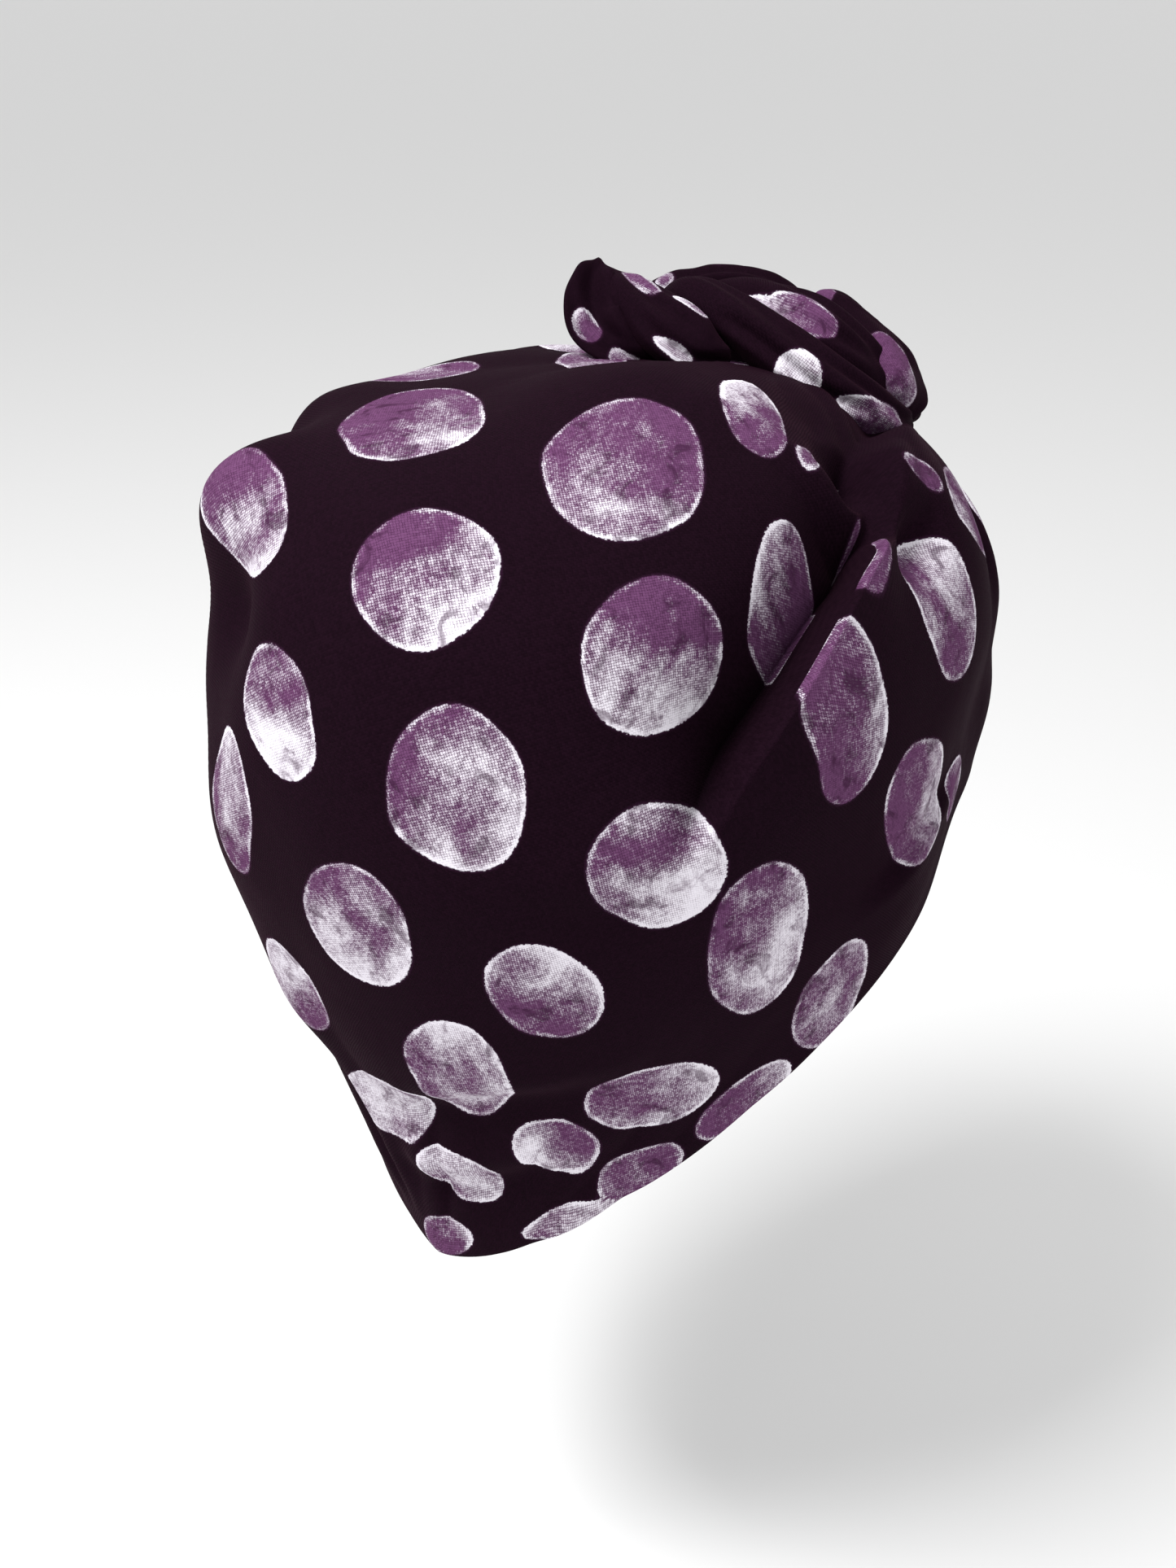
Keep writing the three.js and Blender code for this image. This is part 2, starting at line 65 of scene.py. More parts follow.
# Level sections of the cap from the hem (rise 0) to the top (rise 1). front and back
# are shares of the cap's front and back, and right and left, the wearer's, of its half
# width. front_height runs from the brow hem to the top and back_height from the nape
# hem to the top. A taper above 1 draws the back half in towards a point.
SECTION_COLUMNS = ("rise", "front", "back", "right", "left", "front_height", "back_height", "taper")
SECTIONS = (
    (0.00, 0.93, 0.71, 0.95, 0.95, 0.00, 0.00, 1.22),
    (0.08, 0.97, 0.75, 0.97, 0.97, 0.10, 0.09, 1.20),
    (0.20, 1.00, 0.82, 0.98, 0.98, 0.23, 0.24, 1.04),
    (0.34, 1.00, 0.92, 0.99, 0.99, 0.38, 0.41, 0.96),
    (0.48, 0.97, 1.00, 1.00, 1.00, 0.54, 0.61, 0.92),
    (0.62, 0.88, 1.00, 0.93, 0.95, 0.70, 0.78, 0.92),
    (0.74, 0.72, 0.93, 0.80, 0.86, 0.85, 0.89, 0.92),
    (0.86, 0.47, 0.77, 0.57, 0.70, 0.95, 0.97, 0.92),
    (0.95, 0.17, 0.51, 0.30, 0.43, 0.99, 0.995, 0.92),
    (1.00, -0.20, 0.165, 0.00, 0.00, 1.00, 1.00, 0.92),
)
SQUARENESS = 0.92  # below 1 makes a section of the cap or of a roll fuller than an ellipse
ARCH_RISE = 0.42  # the rise at which the arch over the ears has faded out
ARCH_SHARPNESS = 1.6

# Folds of the cap, each along a bent line from, through and to a place given as
# (bearing, rise). Bearing is in degrees, 0 at the forehead, 90 at the wearer's right
# ear and 180 at the nape. The cloth dips on the right hand of the walk and stands up
# on its left hand. dip and ridge are shares of the fold depth, reach is a share of
# the fold width, wall is the steep side as a share of the crease width, fade_in and
# fade_out are shares of the fold's length, and tuck is how strongly the ridge laps
# over the dip.
FOLD_COLUMNS = (
    "start", "through", "end", "dip", "ridge", "reach", "wall", "fade_in", "fade_out", "tuck",
)
FOLDS = (
    ((30, 0.74), (56, 0.80), (84, 0.75), 1.0, 0.3, 0.5, 1.2, 0.2, 0.1, 0.0),
    ((80, 0.72), (103, 0.618), (127, 0.460), 1.9, 0.55, 0.8, 0.9, 0.15, 0.28, 2.1),
    ((62, 0.83), (76, 0.745), (87, 0.655), 1.2, 0.2, 0.40, 1.0, 0.25, 0.25, 0.3),
    ((92, 0.640), (80, 0.680), (66, 0.715), 0.7, 0.2, 0.35, 1.2, 0.40, 0.40, 0.0),
    ((150, 0.50), (137, 0.455), (118, 0.50), 0.3, 0.1, 0.9, 2.0, 0.5, 0.4, 0.0),
    ((188, 0.20), (158, 0.24), (126, 0.20), 0.4, 0.25, 0.6, 1.6, 0.3, 0.5, 0.0),
    ((190, 0.13), (162, 0.12), (138, 0.12), 0.35, 0.25, 0.5, 1.6, 0.3, 0.5, 0.0),
    ((76, 0.31), (90, 0.31), (106, 0.28), 0.3, 0.15, 0.5, 1.3, 0.3, 0.4, 0.5),
    ((24, 0.66), (40, 0.56), (58, 0.40), 0.45, 0.3, 0.7, 1.6, 0.2, 0.5, 0.8),
    ((12, 0.62), (18, 0.44), (28, 0.24), 0.4, 0.3, 0.7, 1.6, 0.2, 0.5, 0.8),
    ((350, 0.62), (346, 0.44), (338, 0.24), 0.4, 0.3, 0.7, 2.0, 0.2, 0.5, 0.8),
    ((334, 0.68), (318, 0.60), (300, 0.44), 0.6, 0.3, 0.8, 2.0, 0.2, 0.5, 0.8),
    ((318, 0.80), (292, 0.78), (262, 0.62), 0.5, 0.3, 0.8, 2.0, 0.2, 0.5, 0.8),
)

MAIN_PLEAT = 1  # row of the deepest fold, which ovals can be cut at
CUT_PLACE = 2.0  # millimetres from the pleat's line to where the print of a cut oval stops
CUT_SHARPNESS = 8.0  # keeps the pale rim of an oval off its cut

# Places where the cap's cloth puffs out, or in where height is negative, with height
# and reach as shares of the puff height and the puff reach.
PUFF_COLUMNS = ("at", "height", "reach")
PUFFS = (
    ((246, 0.86), 0.6, 0.5),
    ((233, 0.80), -0.9, 0.45),
    ((219, 0.76), 1.5, 0.55),
    ((206, 0.655), -1.5, 0.5),
    ((206, 0.55), -0.4, 0.6),
    ((208, 0.42), 0.6, 0.8),
    ((215, 0.32), 0.4, 1.0),
    ((201, 0.26), 0.5, 0.5),
    ((80, 0.06), -0.5, 0.7),
    ((94, 0.24), 0.4, 0.8),
    ((290, 0.94), 0.2, 1.1),
    ((60, 0.90), 0.6, 0.9),
    ((67, 0.86), -0.7, 0.5),
    ((77, 0.695), -1.2, 0.3),
    ((62, 0.66), 0.4, 0.8),
    ((128, 0.56), -0.5, 0.8),
    ((135, 0.80), -1.0, 1.2),
    ((100, 0.97), 1.5, 1.0),
    ((66, 0.30), -0.7, 0.8),
)

# Rolls of the knot in its own frame. along and up are shares of half the knot's
# length and of its height, away from the back of the cap is a share of half its
# depth, and wide and thick are shares of its height. cup bends the edges of the
# section in towards the knot, as a share of the half width.
STATION_COLUMNS = ("along", "away", "up", "wide", "thick", "cup")
ROLLS = {
    "knot_wrap": (
        (-0.65, -0.05, 0.16, 0.19, 0.17, 0.0),
        (-0.51, -0.21, 0.20, 0.31, 0.25, 0.0),
        (-0.28, -0.36, 0.11, 0.36, 0.33, 0.0),
        (0.00, -0.48, -0.04, 0.43, 0.39, 0.0),
        (0.28, -0.50, -0.17, 0.46, 0.42, 0.0),
        (0.55, -0.40, -0.21, 0.40, 0.36, 0.0),
        (0.76, -0.24, -0.20, 0.25, 0.25, 0.0),
        (0.85, -0.10, -0.13, 0.11, 0.11, 0.0),
    ),
    "knot_crest": (
        (-0.42, 0.00, 0.37, 0.17, 0.14, 0.0),
        (-0.22, -0.14, 0.33, 0.39, 0.28, 0.0),
        (-0.02, -0.26, 0.27, 0.50, 0.36, 0.0),
        (0.18, -0.31, 0.21, 0.56, 0.42, 0.0),
        (0.40, -0.29, 0.12, 0.50, 0.39, 0.0),
        (0.60, -0.17, 0.03, 0.36, 0.28, 0.0),
        (0.73, -0.05, -0.04, 0.14, 0.14, 0.0),
    ),
    "knot_strap": (
        (-0.98, -0.19, 0.22, 0.08, 0.08, 0.0),
        (-0.86, -0.31, 0.07, 0.33, 0.19, 0.0),
        (-0.71, -0.40, -0.04, 0.42, 0.25, 0.0),
        (-0.55, -0.48, -0.14, 0.47, 0.31, 0.0),
        (-0.39, -0.52, -0.21, 0.39, 0.28, 0.0),
        (-0.27, -0.50, -0.21, 0.19, 0.17, 0.0),
        (-0.21, -0.43, -0.18, 0.08, 0.08, 0.0),
    ),
    "knot_ear": (
        (-1.02, -0.19, 0.26, 0.06, 0.06, 0.0),
        (-1.02, -0.26, 0.13, 0.25, 0.14, -0.3),
        (-0.99, -0.31, -0.05, 0.42, 0.19, -0.5),
        (-0.93, -0.36, -0.23, 0.42, 0.22, -0.6),
        (-0.79, -0.40, -0.33, 0.33, 0.22, -0.4),
        (-0.63, -0.36, -0.34, 0.19, 0.19, 0.0),
        (-0.52, -0.29, -0.30, 0.07, 0.08, 0.0),
    ),
    "knot_front_lobe": (
        (0.16, 0.19, 0.50, 0.17, 0.17, 0.0),
        (0.25, 0.14, 0.55, 0.39, 0.25, 0.0),
        (0.42, 0.07, 0.44, 0.56, 0.31, 0.0),
        (0.58, 0.00, 0.29, 0.69, 0.36, 0.0),
        (0.70, -0.05, 0.12, 0.69, 0.36, 0.0),
        (0.78, -0.07, -0.03, 0.50, 0.33, 0.0),
        (0.81, -0.10, -0.17, 0.22, 0.22, 0.0),
    ),
    "knot_far_roll": (
        (-0.72, 0.05, 0.17, 0.14, 0.14, 0.0),
        (-0.62, 0.14, 0.27, 0.42, 0.22, 0.0),
        (-0.46, 0.21, 0.38, 0.56, 0.26, 0.0),
        (-0.26, 0.26, 0.47, 0.61, 0.29, 0.0),
        (-0.05, 0.29, 0.51, 0.56, 0.29, 0.0),
        (0.13, 0.26, 0.46, 0.39, 0.25, 0.0),
        (0.26, 0.19, 0.36, 0.17, 0.17, 0.0),
    ),
    "knot_far_wrap": (
        (-0.92, 0.10, -0.12, 0.34, 0.30, 0.0),
        (-0.62, 0.38, -0.06, 0.62, 0.50, 0.0),
        (-0.16, 0.58, -0.03, 0.74, 0.58, 0.0),
        (0.28, 0.60, -0.06, 0.70, 0.58, 0.0),
        (0.62, 0.44, -0.15, 0.50, 0.46, 0.0),
        (0.76, 0.24, -0.26, 0.28, 0.28, 0.0),
    ),
}

# The place in the knot that the flat of each roll faces away from, in the same shares.
ROLL_CORES = {
    "knot_wrap": (0.25, 0.55, -0.25),
    "knot_crest": (0.00, 0.45, -0.35),
    "knot_strap": (-0.75, 0.80, -0.30),
    "knot_ear": (-1.00, 1.20, 0.10),
    "knot_front_lobe": (0.45, 0.15, -0.45),
    "knot_far_roll": (-0.10, 0.20, -0.60),
    "knot_far_wrap": (0.00, 0.00, -0.25),
}

# Creases along a roll: from_turn and to_turn are degrees round it, 90 on its flat and
# 180 on its upper edge, start and end are shares of its length, and depth and reach are
# shares of the pleat depth and of the pleat width.
CREASE_COLUMNS = ("roll", "from_turn", "to_turn", "start", "end", "depth", "reach")
CREASES = (
    ("knot_wrap", 60, 80, 0.25, 0.75, 0.8, 1.0),
    ("knot_wrap", 140, 115, 0.05, 0.60, 0.5, 1.2),
    ("knot_wrap", 120, 90, 0.50, 1.00, 0.7, 1.0),
    ("knot_crest", 60, 80, 0.10, 0.80, 0.8, 1.0),
    ("knot_crest", 120, 100, 0.20, 1.00, 0.6, 1.0),
    ("knot_strap", 120, 90, 0.05, 0.70, 0.8, 1.0),
    ("knot_strap", 60, 50, 0.30, 1.00, 0.7, 1.0),
    ("knot_ear", 100, 80, 0.00, 0.80, 1.2, 1.2),
    ("knot_ear", 60, 60, 0.35, 1.00, 0.7, 1.0),
    ("knot_front_lobe", 70, 100, 0.10, 0.70, 0.8, 1.0),
    ("knot_front_lobe", 130, 120, 0.40, 1.00, 0.8, 1.0),
    ("knot_far_roll", 70, 90, 0.20, 0.90, 0.8, 1.0),
    ("knot_far_roll", 40, 30, 0.10, 0.80, 0.9, 1.0),
    ("knot_far_wrap", 70, 100, 0.10, 0.70, 1.0, 1.2),
    ("knot_far_wrap", 130, 110, 0.30, 1.00, 1.0, 1.2),
    ("knot_far_wrap", 40, 60, 0.20, 0.90, 0.8, 1.0),
)
END_ROUND = 0.2  # share of a roll's length over which each end closes
THREAD_RELIEF = 0.12 * MM
# Painted shade: the near-black colour that the cloth is darkened to in the valley beside the main
# pleat.
PAINTED_VALLEY_SHADE_COLOUR = (0.001, 0.0004, 0.0008, 1.0)  # the shade deep beside the main pleat

# Printed ovals of the cap. bearing and rise place the middle, wide and tall are the
# half lengths in millimetres, tilt turns the wide axis from the level direction up
# towards the crown, egg makes the end of the wide axis narrower, pale is how white
# the dye is from 0 to 1, and faded and fade_way are how much whiter one side is and
# the direction of that side in degrees. cut is 1 where an oval shows only on the sunken
# side of the main pleat, -1 where only on its raised side.
SPOT_COLUMNS = ("bearing", "rise", "wide", "tall", "tilt", "egg", "pale", "faded", "fade_way", "cut")
CAP_SPOTS = (
    (120.7, 0.893, 22, 18, 130, 0.0, 0.20, 0.22, 300, 0),
    (161.7, 0.767, 17, 16, 71, 0.0, 0.42, 0.35, 200, 0),
    (124.1, 0.667, 19, 18, 124, 0.0, 0.42, 0.38, 275, 0),
    (155.6, 0.560, 19, 16, 92, 0.1, 0.44, 0.32, 250, 0),
    (201.1, 0.940, 26, 17, 27, 0.1, 0.15, 0.22, 190, 0),
    (205.7, 0.767, 20, 12, 7, 0.0, 0.42, 0.45, 265, 0),
    (183.9, 0.593, 16, 13, 57, -0.1, 0.48, 0.35, 255, 0),
    (174.2, 0.427, 19, 15, 119, 0.1, 0.46, 0.36, 255, 0),
    (146.7, 0.376, 16, 12, 67, 0.0, 0.42, 0.38, 150, 0),
    (163.2, 0.280, 20, 13, 100, 0.0, 0.48, 0.20, 150, 0),
    (135.5, 0.155, 17, 12, 26, 0.0, 0.50, 0.30, 190, 0),
    (182.5, 0.198, 17, 11, 146, 0.0, 0.58, 0.10, 90, 0),
    (150.2, 0.133, 12, 10.5, 88, 0.0, 0.50, 0.35, 0, 0),
    (167.5, 0.122, 12.5, 10, 60, 0.0, 0.55, 0.20, 0, 0),
    (138.0, 0.027, 13, 8, 0, 0.0, 0.22, 0.20, 180, 0),
    (150.0, 0.012, 14, 5, 3, 0.0, 0.62, 0.10, 180, 0),
    (175.5, 0.030, 11, 7, 149, 0.0, 0.22, 0.10, 180, 0),
    (129.9, 0.473, 17, 15, 44, 0.1, 0.44, 0.30, 205, 0),
    (116.9, 0.353, 23, 14, 98, -0.1, 0.40, 0.30, 220, 0),
    (108.3, 0.087, 17, 11, 131, 0.0, 0.38, 0.20, 200, 0),
    (121.9, 0.022, 15, 8, 3, 0.0, 0.30, 0.20, 200, 0),
    (90.0, 0.392, 19, 14, 68, 0.0, 0.38, 0.20, 180, 0),
    (101.2, 0.547, 19, 13, 96, 0.0, 0.28, 0.32, 165, -1),
    (99.9, 0.693, 20, 12, 114, 0.0, 0.24, 0.30, 60, 1),
    (78.0, 0.587, 19, 14, 90, 0.0, 0.30, 0.10, 90, 0),
    (84.2, 0.900, 15, 8, 142, 0.2, 0.30, 0.20, 150, 0),
    (320.0, 0.975, 20, 9, 84, 0.1, 0.36, 0.30, 200, 0),
    (53.5, 0.640, 24, 12, 25, 0.0, 0.30, 0.10, 90, 0),
    (89.5, 0.680, 11, 7, 143, 0.0, 0.10, 0.10, 90, -1),
    (198.7, 0.480, 20, 11, 100, 0.0, 0.40, 0.20, 90, 0),
    (195.0, 0.313, 14, 11, 77, 0.0, 0.52, 0.10, 90, 0),
    (263.6, 0.927, 15, 10, 40, 0.0, 0.25, 0.10, 90, 0),
    (79.0, 0.190, 12, 9, 60, 0.0, 0.36, 0.10, 90, 0),
    (67.0, 0.735, 7.5, 4.2, 45, 0.2, 0.12, 0.20, 90, 0),
    (83.5, 0.732, 4.5, 1.4, 140, 0.0, 0.10, 0.10, 90, 0),
    (83.5, 0.832, 5, 2.8, 160, 0.3, 0.20, 0.10, 90, 0),
)

# Printed ovals on the knot: place is (share of the roll's length, turn in degrees).
KNOT_SPOT_COLUMNS = (
    "roll", "length_at", "turn_at", "wide", "tall", "tilt", "egg", "pale", "faded", "fade_way",
)
KNOT_SPOTS = (
    ("knot_ear", 0.50, 78, 4.8, 3.4, 0, 0.0, 0.15, 0.3, 180),
    ("knot_ear", 0.74, 50, 5, 2.0, 0, 0.0, 0.05, 0.1, 180),
    ("knot_strap", 0.22, 130, 7, 1.8, 0, 0.0, 0.25, 0.2, 180),
    ("knot_strap", 0.50, 150, 5.6, 1.9, 0, 0.1, 0.45, 0.2, 180),
    ("knot_strap", 0.57, 45, 6, 1.9, 0, 0.0, 0.50, 0.2, 180),
    ("knot_wrap", 0.51, 66, 7.0, 6.2, 0, 0.0, 0.60, 0.1, 180),
    ("knot_wrap", 0.70, 66, 11.5, 6.0, 0, -0.1, 0.40, 0.3, 180),
    ("knot_crest", 0.28, 58, 6, 2.8, 0, 0.1, 0.50, 0.2, 180),
    ("knot_crest", 0.43, 72, 10, 5.6, 0, 0.1, 0.15, 0.3, 180),
    ("knot_front_lobe", 0.66, 32, 12, 8.5, 0, 0.0, -0.10, 0.1, 0),
    ("knot_front_lobe", 0.12, 45, 5.2, 4.4, 0, 0.0, 0.0, 0.1, 180),
    ("knot_far_roll", 0.10, 45, 3, 2.6, 0, 0.0, 0.05, 0.1, 180),
    ("knot_far_roll", 0.43, 75, 7, 3.2, 0, 0.0, 0.10, 0.2, 180),
    ("knot_far_wrap", 0.30, 80, 15, 12, 60, 0.0, 0.35, 0.3, 90),
    ("knot_far_wrap", 0.72, 100, 15, 12, 20, 0.0, 0.45, 0.3, 30),
)


class CapSizes(bpy.types.PropertyGroup):
    """Sizes of the cap."""

    half_width: FloatProperty(
        name="Half width", description="Origin to the fullest point over an ear",
        default=0.091, min=0.05, unit="LENGTH")
    front: FloatProperty(
        name="Front", description="Origin to the fullest point over the forehead",
        default=0.101, min=0.05, unit="LENGTH")
    back: FloatProperty(
        name="Back", description="Origin to the fullest point of the bag at the back",
        default=0.122, min=0.05, unit="LENGTH")
    top: FloatProperty(
        name="Top", description="Origin up to the top of the crown",
        default=0.139, min=0.05, unit="LENGTH")
    brow_lift: FloatProperty(
        name="Brow lift", description="Origin up to the hem over the forehead",
        default=0.028, unit="LENGTH")
    nape_drop: FloatProperty(
        name="Nape drop", description="Origin down to the hem at the nape",
        default=0.084, unit="LENGTH")
    ear_lift: FloatProperty(
        name="Ear lift", description="How far the hem arches up over the ears",
        default=0.039, unit="LENGTH")
    cloth_wall: FloatProperty(
        name="Cloth wall", description="Two layers of cloth with the air between them",
        default=0.0016, min=0.0005, unit="LENGTH")
    hem_wall: FloatProperty(
        name="Hem wall", description="Thickness of the turned hem",
        default=0.0024, min=0.0005, unit="LENGTH")
    hem_band: FloatProperty(
        name="Hem band", description="Height of the turned hem",
        default=0.012, min=0.002, unit="LENGTH")
    fold_depth: FloatProperty(
        name="Fold depth", description="Depth of the deepest fold",
        default=0.009, min=0.0, unit="LENGTH")
    fold_width: FloatProperty(
        name="Fold width", description="How far a fold is felt to each side",
        default=0.026, min=0.002, unit="LENGTH")
    crease_width: FloatProperty(
        name="Crease width", description="How wide the steep wall of a fold is",
        default=0.009, min=0.001, unit="LENGTH")
    # Width of the painted shade that darkens the valley beside the main pleat.
    painted_shade_width: FloatProperty(
        name="Valley width", description="How far the shaded valley beside the main pleat reaches",
        default=0.008, min=0.001, unit="LENGTH")
    puff_height: FloatProperty(
        name="Puff height", description="How far the cloth puffs out",
        default=0.006, unit="LENGTH")
    puff_reach: FloatProperty(
        name="Puff reach", description="How wide a puff of the cloth is",
        default=0.030, min=0.002, unit="LENGTH")
    gather_depth: FloatProperty(
        name="Gather depth", description="Depth of the small gathers round the knot",
        default=0.0016, min=0.0, unit="LENGTH")
    slack: FloatProperty(
        name="Slack", description="Height of the soft waves all over the cloth",
        default=0.0009, min=0.0, unit="LENGTH")
    columns: IntProperty(
        name="Columns", description="Faces round the cap, an even number",
        default=400, min=40, max=480)
    rows: IntProperty(
        name="Rows", description="Faces from the hem to the top, an even number",
        default=150, min=20, max=180)


class KnotSizes(bpy.types.PropertyGroup):
    """Sizes of the knot."""

    length: FloatProperty(
        name="Length", description="Along the knot's long axis",
        default=0.100, min=0.02, unit="LENGTH")
    depth: FloatProperty(
        name="Depth", description="Across the knot's long axis",
        default=0.084, min=0.02, unit="LENGTH")
    height: FloatProperty(
        name="Height", description="Height of the knot",
        default=0.036, min=0.01, unit="LENGTH")
    seat: FloatVectorProperty(
        name="Seat", description="Middle of the knot",
        default=(-0.003, -0.048, 0.136), subtype="TRANSLATION", unit="LENGTH")
    yaw: FloatProperty(
        name="Yaw", description="How far the long axis is turned about the vertical",
        default=math.radians(220), subtype="ANGLE", unit="ROTATION")
    tilt: FloatProperty(
        name="Tilt", description="How far the knot leans forward over the forehead",
        default=math.radians(28), subtype="ANGLE", unit="ROTATION")
    pleat_depth: FloatProperty(
        name="Pleat depth", description="Depth of the pleats along the rolls",
        default=0.0016, min=0.0, unit="LENGTH")
    pleat_width: FloatProperty(
        name="Pleat width", description="How wide a pleat of the rolls is",
        default=0.0018, min=0.0002, unit="LENGTH")
    rings: IntProperty(
        name="Rings", description="Faces along each roll", default=150, min=10, max=300)
    sides: IntProperty(
        name="Sides", description="Faces round each roll", default=72, min=8, max=160)


class ClothLooks(bpy.types.PropertyGroup):
    """Dyes and weave of the cloth."""

    ground: FloatVectorProperty(
        name="Ground", description="Dark dye between the ovals",
        default=(0.0088, 0.0028, 0.0066), subtype="COLOR", min=0.0, max=1.0)
    deep_dye: FloatVectorProperty(
        name="Deep dye", description="Darkest violet of the ovals",
        default=(0.045, 0.013, 0.040), subtype="COLOR", min=0.0, max=1.0)
    violet: FloatVectorProperty(
        name="Violet", description="Main violet of the ovals",
        default=(0.138, 0.053, 0.130), subtype="COLOR", min=0.0, max=1.0)
    pale: FloatVectorProperty(
        name="Pale", description="Bare cloth that shows through the violet",
        default=(0.80, 0.76, 0.83), subtype="COLOR", min=0.0, max=1.0)
    reverse: FloatVectorProperty(
        name="Reverse", description="The cloth's plain inner face",
        default=(0.045, 0.028, 0.040), subtype="COLOR", min=0.0, max=1.0)
    thread_pitch: FloatProperty(
        name="Thread pitch", description="Distance between threads, in millimetres",
        default=0.6, min=0.1, max=3.0)
    spot_size: FloatProperty(
        name="Oval size", description="Scale of the printed ovals",
        default=1.0, min=0.2, max=3.0)


class StageSizes(bpy.types.PropertyGroup):
    """Floor, light and camera."""

    floor_drop: FloatProperty(
        name="Floor drop", description="Origin down to the floor",
        default=0.22, min=0.09, unit="LENGTH")
    azimuth: FloatProperty(
        name="Azimuth", description="Camera bearing, 0 looks along +Y",
        default=math.radians(220), subtype="ANGLE", unit="ROTATION")
    elevation: FloatProperty(
        name="Elevation", description="Camera height above the level",
        default=math.radians(25), subtype="ANGLE", unit="ROTATION")
    distance: FloatProperty(
        name="Distance", description="Camera to the point that it looks at",
        default=0.50, min=0.1, unit="LENGTH")
    target: FloatVectorProperty(
        name="Target", description="The point that the camera looks at",
        default=(0.0116, 0.0095, 0.025), subtype="TRANSLATION", unit="LENGTH")
    key_power: FloatProperty(
        name="Key power", description="Power of the main soft light",
        default=17.0, min=0.0, unit="POWER")
    fill_power: FloatProperty(
        name="Fill power", description="Power of the wide fill light",
        default=1.0, min=0.0, unit="POWER")
    room_light: FloatProperty(
        name="Room light", description="Strength of the even light from all round",
        default=0.76, min=0.0)


def as_rows(columns, rows):
    """The rows of a table as dictionaries with named columns."""
    return [dict(zip(columns, row)) for row in rows]


def table_value(columns, rows, key, column, place):
    """Smooth curve through one column of a table, without overshoot."""
    keys = np.array([row[columns.index(key)] for row in rows], float)
    values = np.array([row[columns.index(column)] for row in rows], float)
    steps = np.diff(keys)
    slopes = np.diff(values) / steps
    tangents = np.empty_like(values)
    tangents[0], tangents[-1] = slopes[0], slopes[-1]
    tangents[1:-1] = (slopes[:-1] * steps[1:] + slopes[1:] * steps[:-1]) / (steps[:-1] + steps[1:])
    place = np.asarray(place, float)
    row = np.clip(np.searchsorted(keys, place, side="left") - 1, 0, len(steps) - 1)
    length = steps[row]
    t = (place - keys[row]) / length
    return (
        (2 * t**3 - 3 * t**2 + 1) * values[row]
        + (t**3 - 2 * t**2 + t) * length * tangents[row]
        + (3 * t**2 - 2 * t**3) * values[row + 1]
        + (t**3 - t**2) * length * tangents[row + 1]
    )


def smooth_step(value):
    t = np.clip(value, 0, 1)
    return t * t * (3 - 2 * t)


def signed_power(value, power):
    return np.sign(value) * np.abs(value) ** power


def unit(vectors):
    return vectors / np.maximum(np.linalg.norm(vectors, axis=-1, keepdims=True), 1e-12)


def smooth_cap(cap, bearing, rise):
    """Points of the cap without its folds."""
    bearing, rise = np.broadcast_arrays(np.asarray(bearing, float), np.asarray(rise, float))

    def at(column):
        return table_value(SECTION_COLUMNS, SECTIONS, "rise", column, rise)

    front_y = -at("front") * cap.front
    back_y = at("back") * cap.back
    front_z = cap.brow_lift + at("front_height") * (cap.top - cap.brow_lift)
    back_z = -cap.nape_drop + at("back_height") * (cap.top + cap.nape_drop)
    sine, cosine = np.sin(np.radians(bearing)), np.cos(np.radians(bearing))
    power = SQUARENESS + (at("taper") - SQUARENESS) * smooth_step(0.5 - cosine)
    reach = signed_power(cosine, SQUARENESS)
    y = (front_y + back_y) / 2 - reach * (back_y - front_y) / 2
    arch = cap.ear_lift * (1 - smooth_step(rise / ARCH_RISE)) * np.abs(sine) ** ARCH_SHARPNESS
    z = front_z + (back_z - front_z) * (1 - reach) / 2 + arch
    side = np.where(sine > 0, at("right"), at("left"))
    return np.stack([-side * cap.half_width * signed_power(sine, power), y, z], -1)


def smooth_directions(cap, bearing, rise):
    """Level direction, outward direction and the direction up the cloth."""
    step_bearing, step_rise = 0.5, 0.004
    low = np.minimum(rise, 1 - 3 * step_rise)
    ahead, behind = (smooth_cap(cap, bearing + step, low) for step in (step_bearing, -step_bearing))
    above, below = (
        smooth_cap(cap, bearing, at) for at in (low + step_rise, np.maximum(low - step_rise, 0)))
    level, upward = ahead - behind, above - below
    outward = unit(np.cross(upward, level))
    near_top = np.asarray(rise > 1 - 2 * step_rise)[..., None]
    outward = np.where(near_top, np.array([0.0, 0.0, 1.0]), outward)
    level = unit(level - outward * (level * outward).sum(-1, keepdims=True))
    return level, outward, np.cross(outward, level) * -1


def bent_line(start, through, end, count=16):
    """(bearing, rise) places of a curve that passes through its middle place."""
    t = np.linspace(0, 1, count + 1)[:, None]
    start, through, end = (np.array(place, float) for place in (start, through, end))
    bend = 2 * through - (start + end) / 2
    return (1 - t) ** 2 * start + 2 * t * (1 - t) * bend + t**2 * end


def fold_sides(cap, fold, places, outward):
    """Distance of each place from a fold's line, more than 0 on its right hand, with the
    share of the line walked and the direction to its right."""
    line = bent_line(fold["start"], fold["through"], fold["end"])
    points = smooth_cap(cap, line[:, 0], line[:, 1])
    nearest = np.full(len(places), np.inf)
    walked = np.zeros(len(places))
    away = np.zeros_like(places)
    heading = np.zeros_like(places)
    for index in range(len(points) - 1):
        segment = points[index + 1] - points[index]
        t = np.clip((places - points[index]) @ segment / (segment @ segment), 0, 1)
        gap = places - (points[index] + t[:, None] * segment)
        distance = np.linalg.norm(gap, axis=1)
        closer = distance < nearest
        nearest = np.where(closer, distance, nearest)
        walked = np.where(closer, (index + t) / (len(points) - 1), walked)
        away[closer] = gap[closer]
        heading[closer] = segment
    right = unit(np.cross(heading, outward))
    return np.where((right * away).sum(1) < 0, -1.0, 1.0) * nearest, walked, right


